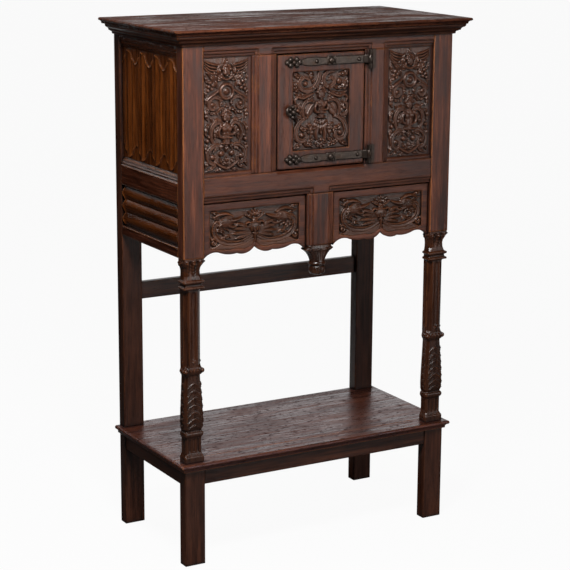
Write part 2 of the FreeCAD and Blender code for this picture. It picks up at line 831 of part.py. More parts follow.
for side_name, side in SIDES.items():
    grooves = [side_panel_blank(f"side_groove_{side_name}_{panel}", side, low, high)
               for panel, (low, high) in SIDE_PANELS.items()]
    floor_groove = floor_blank(f"side_floor_groove_{side_name}")
    for rail, (low, high) in SIDE_RAILS.items():
        label = f"side_{side_name}_{rail}_rail"
        pieces = [along_y(label + "_bar", FRONT_POST_BACK, REAR_POST_FRONT,
                          side_section(side, rail, low, high))]
        pieces += [side_tenon(f"{label}_tenon_front", side, True, low, high),
                   side_tenon(f"{label}_tenon_rear", side, False, low, high)]
        keep(cut(label, fuse(label + "_solid", pieces), grooves + [floor_groove]), label)
    for panel, (low, high) in SIDE_PANELS.items():
        label = f"side_{side_name}_{panel}_panel"
        lying = panel == "lower"
        folds = linenfold(label + "_cloth", side, low, high, 2 if lying else 4, lying)
        keep(fuse(label, [side_panel_blank(label + "_board", side, low, high), folds]), label)


# Back, cupboard floor and drawer runners

for rail, (low, high) in REAR_RAILS.items():
    label = f"rear_{rail}_rail"
    pieces = [box(label + "_bar", (f"-({POST_INNER})", "back_plane - side_thick", low),
                  (POST_INNER, "back_plane", high))]
    pieces += [rear_tenon(f"{label}_tenon_{side_name}", side, low, high)
               for side_name, side in SIDES.items()]
    groove = back_panel_blank(label + "_groove", f"-({POST_INNER} + panel_tongue)",
                              f"{POST_INNER} + panel_tongue")
    keep(cut(label, fuse(label + "_solid", pieces), [groove]), label)

for side_name, side in SIDES.items():
    label = f"back_board_{side_name}"
    start, end = sided(side, "0", f"{POST_INNER} + panel_tongue")
    keep(back_panel_blank(label, start, end), label)

keep(floor_blank("cupboard_floor"), "cupboard_floor")

for side_name, side in SIDES.items():
    label = f"runner_{side_name}"
    ledge_in = f"{POST_INNER} - runner_width / 2"
    start, end = sided(side, ledge_in, "half_width - side_thick")
    ledge = box(label + "_ledge", (start, FRONT_POST_BACK, "runner_bottom"),
                (end, REAR_POST_FRONT, "runner_top"))
    start, end = sided(side, f"{POST_INNER} - drawer_gap", "half_width - side_thick")
    guide = box(label + "_guide", (start, FRONT_POST_BACK, "runner_top"),
                (end, REAR_POST_FRONT, "guide_top"))
    keep(fuse(label, [ledge, guide]), label)

RUNNER_FRONT = "front_plane + drawer_muntin_depth"
RUNNER_BACK = "back_plane - side_thick"
keep(fuse("runner_centre", [
    box("runner_centre_ledge", ("-(drawer_muntin_half + runner_width / 2)", RUNNER_FRONT, "runner_bottom"),
        ("drawer_muntin_half + runner_width / 2", RUNNER_BACK, "runner_top")),
    box("runner_centre_guide", ("-(drawer_muntin_half + drawer_gap)", RUNNER_FRONT, "runner_top"),
        ("drawer_muntin_half + drawer_gap", RUNNER_BACK, "guide_top")),
]), "runner_centre")


# Cornice and top


def cornice_steps(sign, base):
    """The cornice's section, from the case's face out to the underside of the top.

    sign turns it towards -Y or +X; base is the case's face along that way.
    """
    profile = [
        ("0", "cornice_bottom"),
        ("3.5", "cornice_bottom", 0),
        ("6", "cornice_bottom + 4", 0.5),
        ("11.5", "cornice_bottom + 8", -0.4),
        ("11.5", "cornice_bottom + 10"),
        ("15.5", "cornice_bottom + 10"),
        ("21", "cornice_bottom + 18", -0.3),
        ("26", "cornice_bottom + 24", 0.3),
        ("26", "case_top"),
        ("0", "case_top"),
    ]
    return [(f"{base} + {sign} * {step[0]}", step[1], step[2] * sign if len(step) > 2 else 0)
            for step in profile]


def mitre_waste(name, side, on_front):
    """What the mitre at a front corner takes off the front length, or off the end length."""
    outer = f"{side} * (half_width + cornice_stock)"
    corner = (f"{side} * half_width", "front_plane")
    tip = (outer, "front_plane - cornice_stock")
    if on_front:
        rest = [(outer, "front_plane + 1"), (f"{side} * half_width", "front_plane + 1")]
    else:
        rest = [(f"{side} * (half_width - 1)", "front_plane - cornice_stock"),
                (f"{side} * (half_width - 1)", "front_plane")]
    return along_z(name, "cornice_bottom - 1", "case_top + 1", [corner, tip] + rest)


front_run = along_x("cornice_front_run", "-(half_width + top_overhang)", "half_width + top_overhang",
                    cornice_steps(-1, "front_plane"))
keep(cut("cornice_front", front_run, [mitre_waste(f"cornice_front_mitre_{side_name}", side, True)
                                      for side_name, side in SIDES.items()]), "cornice_front")
for side_name, side in SIDES.items():
    label = f"cornice_{side_name}"
    run = along_y(label + "_run", "front_plane - top_overhang", "back_plane",
                  cornice_steps(side, f"{side} * half_width"))
    keep(cut(label, run, [mitre_waste(label + "_mitre", side, False)]), label)

moulded_board("top_board_front", ("front_plane - top_overhang", "top_split"),
              "case_top", "total_height", "top_overhang", True)
moulded_board("top_board_back", ("top_split", "back_plane + top_back_overhang"),
              "case_top", "total_height", "top_overhang", False)


# Door with its strap hinges and latch

DOOR_FACE = "(front_plane + door_recess)"
DOOR_HALF = "muntin_inner - door_gap"
DOOR_LOW = "sill_level + door_gap"
DOOR_HIGH = "bay_top - door_gap"
door_blank = box("door_blank", (f"-({DOOR_HALF})", DOOR_FACE, DOOR_LOW),
                 (DOOR_HALF, f"{DOOR_FACE} + door_thick", DOOR_HIGH))
field_half = f"({DOOR_HALF} - door_border)"
door_field = box("door_field", (f"-{field_half}", f"{DOOR_FACE} - 1", f"{DOOR_LOW} + door_border"),
                 (field_half, f"{DOOR_FACE} + door_sink", f"{DOOR_HIGH} - door_border"))
spindle_hole = cylinder("door_spindle_hole", "spindle_radius + 0.5", "door_thick + 2",
                        ("latch_x", f"{DOOR_FACE} - 1", "latch_level"), axis="y")
keep(cut("door_board", door_blank, [door_field, spindle_hole]), "door_board")

AXIS_Y = "front_plane - hinge_stand"
for name, level in (("upper", "strap_upper"), ("lower", "strap_lower")):
    label = f"hinge_strap_{name}"
    low, high = f"({level} - strap_width / 2)", f"({level} + strap_width / 2)"
    bar = box(label + "_bar", ("-strap_reach - flower_long / 2", f"{DOOR_FACE} - strap_thick", low),
              ("hinge_axis - knuckle_radius / 2", DOOR_FACE, high))
    neck = box(label + "_neck", ("hinge_axis - knuckle_radius", f"{AXIS_Y} - 1", low),
               ("hinge_axis - pin_radius - 0.5", DOOR_FACE, high))
    eye = cylinder(label + "_eye", "knuckle_radius", "strap_width", ("hinge_axis", AXIS_Y, low))
    pieces = [bar, neck, eye]
    for turn in range(0, 360, 60):
        petal = (f"flower_long * cos({turn}) - strap_reach", f"{DOOR_FACE} - flower_thick",
                 f"{level} + flower_high * sin({turn})")
        pieces.append(cylinder(f"{label}_petal_{turn}", "petal_radius", "flower_thick", petal, axis="y"))
    for nail, x, radius in (("boss", "(hinge_axis - strap_reach) / 2", "boss_radius"),
                            ("nail_near", "hinge_axis - 30", "nail_radius"),
                            ("nail_far", "0.3 * hinge_axis - 0.7 * strap_reach", "nail_radius")):
        pieces.append(cylinder(f"{label}_{nail}", radius, "strap_thick + 3",
                               (x, f"{DOOR_FACE} - strap_thick - 3", level), axis="y"))
    bore = cylinder(label + "_bore", "pin_radius + pin_clearance", "strap_width + 2",
                    ("hinge_axis", AXIS_Y, f"{low} - 1"))
    keep(cut(label, fuse(label + "_solid", pieces), [bore]), label)

    label = f"hinge_pintle_{name}"
    foot = f"({low} - knuckle_gap - knuckle_long)"
    head = f"({high} + knuckle_gap + knuckle_long)"
    pieces = [cylinder(label + "_pin", "pin_radius", f"{head} - {foot}", ("hinge_axis", AXIS_Y, foot))]
    for knuckle, start in (("low", foot), ("high", f"({head} - knuckle_long)")):
        pieces.append(cylinder(f"{label}_{knuckle}", "knuckle_radius", "knuckle_long",
                               ("hinge_axis", AXIS_Y, start)))
        pieces.append(box(f"{label}_{knuckle}_leaf", ("hinge_axis", "front_plane - strap_thick", start),
                          ("hinge_axis + knuckle_radius + 3", "front_plane", f"{start} + knuckle_long")))
    plate_start = "hinge_axis + knuckle_radius + 1"
    pieces.append(box(label + "_plate", (plate_start, "front_plane - strap_thick", foot),
                      ("hinge_axis + hinge_plate_width", "front_plane", head)))
    keep(fuse(label, pieces), label)

TONGUE_FRONT = "front_plane + frame_thick + 0.5"
LATCH_FRONT = f"({DOOR_FACE} - 0.3)"
latch = [
    cylinder("latch_rose", "knob_radius", "2.5",
             ("latch_x", f"{LATCH_FRONT} - 2.5", "latch_level"), axis="y"),
    cylinder("latch_neck", "spindle_radius", "knob_stand",
             ("latch_x", f"{LATCH_FRONT} - knob_stand", "latch_level"), axis="y"),
    cylinder("latch_grip", "0.7 * knob_radius", "0.55 * knob_stand",
             ("latch_x", f"{LATCH_FRONT} - knob_stand", "latch_level"), axis="y"),
    cylinder("latch_spindle", "spindle_radius", "frame_thick - door_recess + 0.8 + tongue_thick",
             ("latch_x", LATCH_FRONT, "latch_level"), axis="y"),
    box("latch_tongue", ("latch_x - tongue_width / 2", TONGUE_FRONT, "latch_level - tongue_width / 2"),
        ("latch_x + tongue_width / 2", f"{TONGUE_FRONT} + tongue_thick", "latch_level + tongue_long")),
]
keep(fuse("door_latch", latch), "door_latch")


# Drawers


DRAWER_FACE = "(front_plane + drawer_recess)"
TRAY_FRONT = "(front_plane + drawer_recess + drawer_front_thick)"
DRAWER_NEAR = "(drawer_muntin_half + drawer_gap)"
DRAWER_FAR = f"({POST_INNER} - drawer_gap)"


def drawer_middle(side):
    """X of a drawer front's middle, and half its width."""
    return f"({side} * ({DRAWER_NEAR} + {DRAWER_FAR}) / 2)", f"(({DRAWER_FAR} - {DRAWER_NEAR}) / 2)"


def scallop(side):
    """A drawer front's outline: straight sides and top, a bowed and cusped lower edge."""
    centre, half = drawer_middle(side)
    return [
        (f"{centre} - {half}", "drawer_level - drawer_gap"),
        (f"{centre} - {half}", "drawer_corner"),
        (f"{centre} - 0.7 * {half}", "drawer_peak", -0.3),
        (f"{centre} - 0.35 * {half}", "drawer_belly", 0.15),
        (f"{centre}", "drawer_cusp", 0.35),
        (f"{centre} + 0.35 * {half}", "drawer_belly", 0.35),
        (f"{centre} + 0.7 * {half}", "drawer_peak", 0.15),
        (f"{centre} + {half}", "drawer_corner", -0.3),
        (f"{centre} + {half}", "drawer_level - drawer_gap"),
    ]


def sunk_field(side):
    """The field's outline: inside the border, and over a rim that follows the lower edge."""
    centre, half = drawer_middle(side)
    top = "drawer_level - drawer_gap - drawer_border"
    end = f"({half} - drawer_border)"
    return [
        (f"{centre} - {end}", top),
        (f"{centre} - {end}", "drawer_peak + drawer_rim"),
        (f"{centre} - 0.35 * {half}", "drawer_belly + drawer_rim", 0.12),
        (f"{centre}", "drawer_cusp + drawer_rim", 0.35),
        (f"{centre} + 0.35 * {half}", "drawer_belly + drawer_rim", 0.35),
        (f"{centre} + {end}", "drawer_peak + drawer_rim", 0.12),
        (f"{centre} + {end}", top),
    ]


for side_name, side in SIDES.items():
    label = f"drawer_{side_name}_front"
    board = along_y(label + "_board", DRAWER_FACE, TRAY_FRONT, scallop(side))
    field = along_y(label + "_field", f"{DRAWER_FACE} - 1", f"{DRAWER_FACE} + drawer_sink",
                    sunk_field(side))
    keep(cut(label, board, [field]), label)

    label = f"drawer_{side_name}_tray"
    start, end = sided(side, f"{DRAWER_NEAR} + drawer_inset", f"{DRAWER_FAR} - drawer_inset")
    outer = box(label + "_outer", (start, TRAY_FRONT, "drawer_side_bottom"),
                (end, "drawer_back", "drawer_side_top"))
    start, end = sided(side, f"{DRAWER_NEAR} + drawer_inset + drawer_wall",
                       f"{DRAWER_FAR} - drawer_inset - drawer_wall")
    inner = box(label + "_inner", (start, f"{TRAY_FRONT} - 1", "drawer_side_bottom - 1"),
                (end, "drawer_back - drawer_wall", "drawer_side_top + 1"))
    keep(cut(label, outer, [inner]), label)
    label = f"drawer_{side_name}_bottom"
    keep(box(label, (start, TRAY_FRONT, "drawer_floor"),
             (end, "drawer_back - drawer_wall", "drawer_floor + drawer_floor_thick")), label)

doc.recompute()

for thing in doc.Objects:
    if "Invalid" in thing.State or "Error" in thing.State:
        raise RuntimeError(f"{thing.Label} did not build: {thing.State}")
for piece in parts:
    if piece.Shape.isNull() or not piece.Shape.isValid():
        raise RuntimeError(f"{piece.Label} has no valid shape")
    if len(piece.Shape.Solids) != 1:
        raise RuntimeError(f"{piece.Label} has {len(piece.Shape.Solids)} solids")

os.makedirs("parts", exist_ok=True)
for piece in parts:
    piece.Shape.exportStep(os.path.join("parts", piece.Label + ".step"))
print(len(parts), "sub-parts written")
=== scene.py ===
import json
import math
from fnmatch import fnmatch
from functools import cache

import bpy
import numpy as np
from mathutils import Matrix, Vector


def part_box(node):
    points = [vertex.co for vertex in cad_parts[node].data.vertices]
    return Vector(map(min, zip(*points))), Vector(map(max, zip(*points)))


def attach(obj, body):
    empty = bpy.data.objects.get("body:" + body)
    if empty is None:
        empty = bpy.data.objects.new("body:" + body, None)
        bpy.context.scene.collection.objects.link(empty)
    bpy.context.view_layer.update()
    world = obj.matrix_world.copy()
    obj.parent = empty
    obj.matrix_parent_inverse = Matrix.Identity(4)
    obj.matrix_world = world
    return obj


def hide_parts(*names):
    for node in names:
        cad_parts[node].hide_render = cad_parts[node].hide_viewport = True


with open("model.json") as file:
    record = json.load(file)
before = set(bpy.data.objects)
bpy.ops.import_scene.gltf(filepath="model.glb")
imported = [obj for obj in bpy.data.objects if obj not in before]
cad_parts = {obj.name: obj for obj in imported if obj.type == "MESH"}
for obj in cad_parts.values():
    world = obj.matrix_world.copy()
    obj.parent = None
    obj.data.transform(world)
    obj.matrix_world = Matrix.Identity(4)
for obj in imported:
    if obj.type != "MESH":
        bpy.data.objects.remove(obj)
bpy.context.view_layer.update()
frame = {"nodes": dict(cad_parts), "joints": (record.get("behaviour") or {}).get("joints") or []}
nodes = frame["nodes"]
scene = bpy.context.scene

# Lengths in this script are in millimetres, as on the drawings of the cabinet, and become metres with MM.
MM = 0.001
X, Y, Z = range(3)
SIDES = {"left": -1, "right": 1}
LEFT, RIGHT, BOTH = (-1,), (1,), (-1, 1)


# Places taken from the frame

def span(node, axis):
    """Where a sub-part begins and ends along an axis."""
    return [round(corner[axis] / MM, 2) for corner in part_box(node)]


def centre_of(node, axis):
    return sum(span(node, axis)) / 2


def joint_place(name):
    joint = next(joint for joint in frame["joints"] if joint["name"] == name)
    return [round(part / MM, 2) for part in joint["pos_m"]]


FRONT, FRONT_POST_BACK = span("post_front_left", Y)
DOOR_FACE = span("door_board", Y)[0]
PANEL_FACE = span("front_panel_left", Y)[0]
# floors of the sunk fields
DOOR_FIELD = DOOR_FACE + 9.0
DRAWER_FIELD = span("drawer_left_front", Y)[0] + 6.0


# Small helpers for meshes

def placed(name, data):
    """A new object in the scene."""
    made = bpy.data.objects.new(name, data)
    scene.collection.objects.link(made)
    return made


def mesh_piece(name, body, shape, material, node=None):
    """A smooth-shaded piece from points in millimetres and faces that rides on a body of the cabinet."""
    points, faces = shape
    mesh = bpy.data.meshes.new(name)
    corners = (np.asarray(points, float) * MM).tolist()
    mesh.from_pydata(corners, [], [list(map(int, face)) for face in faces])
    mesh.validate()
    mesh.polygons.foreach_set("use_smooth", [True] * len(mesh.polygons))
    mesh.materials.append(material)
    piece = placed(name, mesh)
    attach(piece, body)
    if node:
        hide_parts(node)


def points_at(x, y, z):
    """Points from their coordinates, which may be grids, rows or single values."""
    return np.column_stack([values.ravel() for values in np.broadcast_arrays(x, y, z)])


def around(count):
    """Angles at even steps round a circle."""
    return np.linspace(0, 2 * math.pi, count, endpoint=False)


def grid_faces(rows, columns, start=0, closed=False):
    """Quads over a grid of points that is stored row by row; closed joins the last column to the first."""
    faces = []
    for low in range(start, start + (rows - 1) * columns, columns):
        high = low + columns
        for column in range(columns if closed else columns - 1):
            right = (column + 1) % columns
            faces.append((low + column, low + right, high + right, high + column))
    return faces


def lofted(rings):
    """A closed shape over a stack of rings of points, with a flat cap on the first and on the last."""
    count = len(rings[0])
    last = (len(rings) - 1) * count
    faces = grid_faces(len(rings), count, closed=True)
    faces.append(list(range(count))[::-1])
    faces.append(list(range(last, last + count)))
    return np.concatenate(rings), faces


def backed(front, size, axis, level):
    """A closed slab: a grid of front points whose rim runs straight back to a level on one axis."""
    faces = grid_faces(*size)
    order = np.arange(len(front)).reshape(size)
    rim = np.concatenate([order[0], order[1:, -1], order[-1, -2::-1], order[-2:0:-1, 0]])
    behind = front[rim]
    behind[:, axis] = level
    start, count = len(front), len(rim)
    for here in range(count):
        after = (here + 1) % count
        faces.append((rim[after], rim[here], start + here, start + after))
    faces.append(list(range(start, start + count))[::-1])
    return np.vstack([front, behind]), faces


def joined(parts):
    """Several (points, faces) as one."""
    points, faces = [], []
    for more, ends in parts:
        faces += [[len(points) + index for index in face] for face in ends]
        points += list(more)
    return points, faces


# Curves and sections of carving

# distance between the points of a curve, and between those of a carved field
PATH_STEP = 1.2
CARVING_STEP = 0.85


def smooth_path(points):
    """Evenly spaced points of a Catmull-Rom curve through the given ones."""
    given = np.asarray(points, float)
    ends = np.vstack([2 * given[0] - given[1], given, 2 * given[-1] - given[-2]])
    parts = []
    steps = np.linspace(0, 1, 12, endpoint=False)[:, None]
    for a, b, c, d in zip(ends[:-3], ends[1:-2], ends[2:-1], ends[3:]):
        parts.append(0.5 * (2 * b + (c - a) * steps + (2 * a - 5 * b + 4 * c - d) * steps ** 2
                            + (3 * b - 3 * c + d - a) * steps ** 3))
    curve = np.vstack(parts + [given[-1:]])
    run = np.concatenate([[0], np.cumsum(np.linalg.norm(np.diff(curve, axis=0), axis=1))])
    even = np.linspace(0, run[-1], max(3, int(run[-1] / PATH_STEP) + 1))
    return np.column_stack([np.interp(even, run, line) for line in curve.T])


def wound(eye, radii, turns):
    """Points round an eye, at radii and at turns in radians."""
    return np.column_stack([eye[0] + radii * np.cos(turns), eye[1] + radii * np.sin(turns)])


def varied(values, shares):
    """A value at shares of the way along; it is one number, or several at even steps."""
    return np.interp(shares, np.linspace(0, 1, np.size(values)), np.atleast_1d(values))


def bump(distance, width):
    return np.exp(-(distance / width) ** 2)


def dome(square):
    """Height of a round swelling, from the square of the share of the way from its middle to its rim."""
    return np.sqrt(np.clip(1 - square, 0, 1))


def rounded(across, along):
    return dome(across ** 2)


def flattened(across, along):
    return dome(across ** 4)


def channelled(across, along):
    """A scroll's band: a hollow between two raised edges."""
    return (1 - np.abs(across) ** 7) * (0.62 + 0.38 * across ** 2)


def veined(lobes):
    """A leaf's face: a sunk midrib, and a fold that slants out to each lobe."""
    def section(across, along):
        folds = 0.82 + 0.18 * np.cos(2 * math.pi * (lobes * along - 0.5 - 0.45 * across))
        return flattened(across, along) * folds * (1 - 0.4 * bump(across, 0.15))
    return section


# Carved relief

# how far the ground of a carving stands over its board, and its back is let into it
GROUND_OVER = 0.3
BACK_UNDER = 0.6
# level over which those of the door's and the panels' forms are given
CARVING_BASE = 1000


class Relief:
    """Heights that a carver leaves standing over the ground of an upright field.

    A form's place is given as its distance from the field's axis and its level over a base. It is cut on
    both sides of the axis, or on the one that sides names; on the axis, both are the same. The field's
    lower edge is level, or follows the levels in low, which are given at even steps across it.
    """

    def __init__(self, left, right, low, high, axis, base=0):
        columns = int(round((right - left) / CARVING_STEP)) + 1
        rows = int(round((high - np.min(low)) / CARVING_STEP)) + 1
        across = np.linspace(0, 1, columns)
        edge = varied(low, across)
        self.x, share = np.meshgrid(left + (right - left) * across, np.linspace(0, 1, rows))
        self.z = edge + (high - edge) * share
        self.height = np.zeros_like(self.x)
        self.origin = (axis, base)

    def at(self, side, points):
        """Points on one side of the axis, in the frame of the cabinet."""
        return np.asarray(points, float) * (side, 1) + self.origin

    def near(self, low_corner, high_corner):
        """The part of the grid inside a box, as an index."""
        columns = np.nonzero((self.x[0] >= low_corner[0]) & (self.x[0] <= high_corner[0]))[0]
        rows = np.nonzero(((self.z >= low_corner[1]) & (self.z <= high_corner[1])).any(axis=1))[0]
        return slice(rows[0], rows[-1] + 1), slice(columns[0], columns[-1] + 1)

    def stroke(self, points, width, height, section=rounded, sink=False, sides=BOTH):
        """A band along a curve. width is half the band's breadth; width and height may change along it."""
        for side in sides:
            path = smooth_path(self.at(side, points))
            share = np.linspace(0, 1, len(path))
            widths, heights = varied(width, share), varied(height, share)
            reach = widths.max() + 1
            where = self.near(path.min(0) - reach, path.max(0) + reach)
            x, z = self.x[where], self.z[where]
            best = np.full(x.shape, np.inf)
            nearest = np.zeros(x.shape, int)
            for index, (px, pz) in enumerate(path):
                gap = ((x - px) ** 2 + (z - pz) ** 2) / max(widths[index], 0.3) ** 2
                closer = gap < best
                best = np.where(closer, gap, best)
                nearest = np.where(closer, index, nearest)
            across = np.clip(np.sqrt(best), 0, 1)
            raised = heights[nearest] * section(across, share[nearest]) * (best < 1)
            if sink:
                self.height[where] -= raised
            else:
                self.height[where] = np.maximum(self.height[where], raised)

    def leaf(self, points, width, height, lobes=3, sides=BOTH):
        """A leaf from its foot to its tip, with lobed edges."""
        shares = np.linspace(0, 1, 25)
        outline = np.sin(math.pi * np.clip(shares, 0.02, 0.985) ** 0.75) ** 0.8
        outline = outline * (0.76 + 0.24 * np.abs(np.sin(math.pi * lobes * shares)))
        rise = 0.74 + 0.26 * np.sin(math.pi * np.clip(shares * 1.1 - 0.1, 0, 1))
        self.stroke(points, width * outline, height * rise, veined(lobes), sides=sides)

    def oval(self, centre, half_width, half_height, height, base=0.0, tilt=0.0, sides=BOTH):
        """A swelling with an oval outline; base is how high its rim stands, tilt is in degrees."""
        reach = max(half_width, half_height)
        for side in sides:
            middle = self.at(side, centre)
            where = self.near(middle - reach, middle + reach)
            turn = side * math.radians(tilt)
            dx, dz = self.x[where] - middle[0], self.z[where] - middle[1]
            along = (dx * math.cos(turn) + dz * math.sin(turn)) / half_width
            up = (dz * math.cos(turn) - dx * math.sin(turn)) / half_height
            inside = 1 - along ** 2 - up ** 2
            swell = np.where(inside > 0, base + (height - base) * np.sqrt(np.clip(inside, 0, 1)), 0)
            self.height[where] = np.maximum(self.height[where], swell)

    def ball(self, centre, radius, height, sides=BOTH):
        self.oval(centre, radius, radius, height, 0.35 * height, sides=sides)

    def ring(self, centre, radius, width, height, sides=BOTH):
        self.stroke(wound(centre, radius, np.linspace(0, 2 * math.pi, 25)), width, height, sides=sides)

    def piece(self, name, body, material, board):
        """The relief as a closed piece: its ground lies just over the board, its back is let into it."""
        front = points_at(self.x, board - GROUND_OVER - self.height, self.z)
        mesh_piece(name, body, backed(front, self.x.shape, Y, board + BACK_UNDER), material)


def head(relief, level, size):
    """A plain youthful head of a size from crown to chin; the features sit on the usual shares of it."""
    def at(across, up):
        return size * across, level + size * up

    stroke, oval, ball = relief.stroke, relief.oval, relief.ball
    oval(at(0, 0), 0.39 * size, 0.5 * size, 10.5, 4)
    for share in np.linspace(0, 1, 4):
        angle = math.pi / 2 + 1.35 * share
        ball(at(0.3978 * math.cos(angle), 0.1 + 0.45 * math.sin(angle)), 0.16 * size, 9.6)
    stroke([at(0.07, 0.03), at(0.17, 0.06), at(0.27, 0)], 0.045 * size, 11)
    oval(at(0.16, -0.03), 0.07 * size, 0.04 * size, 11, 9.6)
    oval(at(0.2, -0.2), 0.12 * size, 0.13 * size, 10.8, 7)
    stroke([at(0, 0.05), at(0, -0.16)], [0.03 * size, 0.07 * size], [11.2, 12.2])
    stroke([at(-0.1, -0.29), at(0, -0.28), at(0.1, -0.29)], 0.035 * size, 10.9)
    oval(at(0, -0.4), 0.12 * size, 0.08 * size, 10.2, 6)


FIGURE_HEAD = 29


def half_figure(relief, shoulder, unit, folded):
    """A bare half-figure in a leaf cap, cut off at the belt.

    shoulder is a level and unit the scale of the trunk. The arms are folded across, or meet at the belt.
    """
    def at(*spots):
        return [(unit * across, shoulder + unit * up) for across, up in spots]

    def scaled(*widths):
        return [unit * width for width in widths]

    stroke, leaf, oval = relief.stroke, relief.leaf, relief.oval
    stroke(at((0, -9), (0, -25), (0, -44)), scaled(17.5, 15, 13), [9.4, 9.8, 9.2], flattened)
    stroke(at((0, 0), (0, -20), (0, -46)), scaled(1.5), [0.6, 1.4, 0.8], sink=True, sides=RIGHT)
    oval(*at((8, -11)), *scaled(8.5, 7), 11, 8.6)
    stroke(at((15, -18), (9, -22), (2, -19)), scaled(1.4), 1.2, sink=True)
    stroke(at((16, -12), (15, -26), (13, -40)), scaled(2.2), 4.5, sink=True)
    oval(*at((17, -4)), *scaled(6.6, 6.4), 10.2, 6)
    if folded:
        stroke(at((19, -5), (25, -17), (18, -26), (-9, -23)), scaled(5.4, 5, 4.8, 3.8),
               [9.8, 10, 10.8, 11.4], sides=RIGHT)
        stroke(at((19, -5), (25, -19), (18, -33), (-13, -35)), scaled(5.4, 5.2, 5, 4),
               [9.8, 10, 11.2, 12], sides=LEFT)
        oval(*at((15, -35)), *scaled(4.8, 4.4), 11.8, sides=RIGHT)
    else:
        stroke(at((19, -5), (24, -18), (21, -31), (8, -37)), scaled(5.2, 4.8, 4.4, 3.6),
               [9.8, 9.8, 10.4, 11.2])
        oval(*at((6, -38)), *scaled(4.8, 4.4), 11.6)
    stroke(at((-16, -50), (0, -51), (16, -50)), scaled(3.2), 9.8)
    crown = shoulder + 0.69 * FIGURE_HEAD
    leaf([(3, crown + 16), (13, crown + 21), (23, crown + 16), (28, crown + 5)], 6, 8.4)
    leaf([(0, crown + 14), (0, crown + 25), (0, crown + 37)], 6, 8.4)
    stroke(at((0, 10), (0, 0)), scaled(6.6), 8.8)
    head(relief, crown, FIGURE_HEAD)


# half the width and the lower and upper level of the door's carving, and how far right its axis lies
DOOR_HALF = 84.2
DOOR_LEVELS = (1075.3, 1277.7)
DOOR_SHIFT = 2


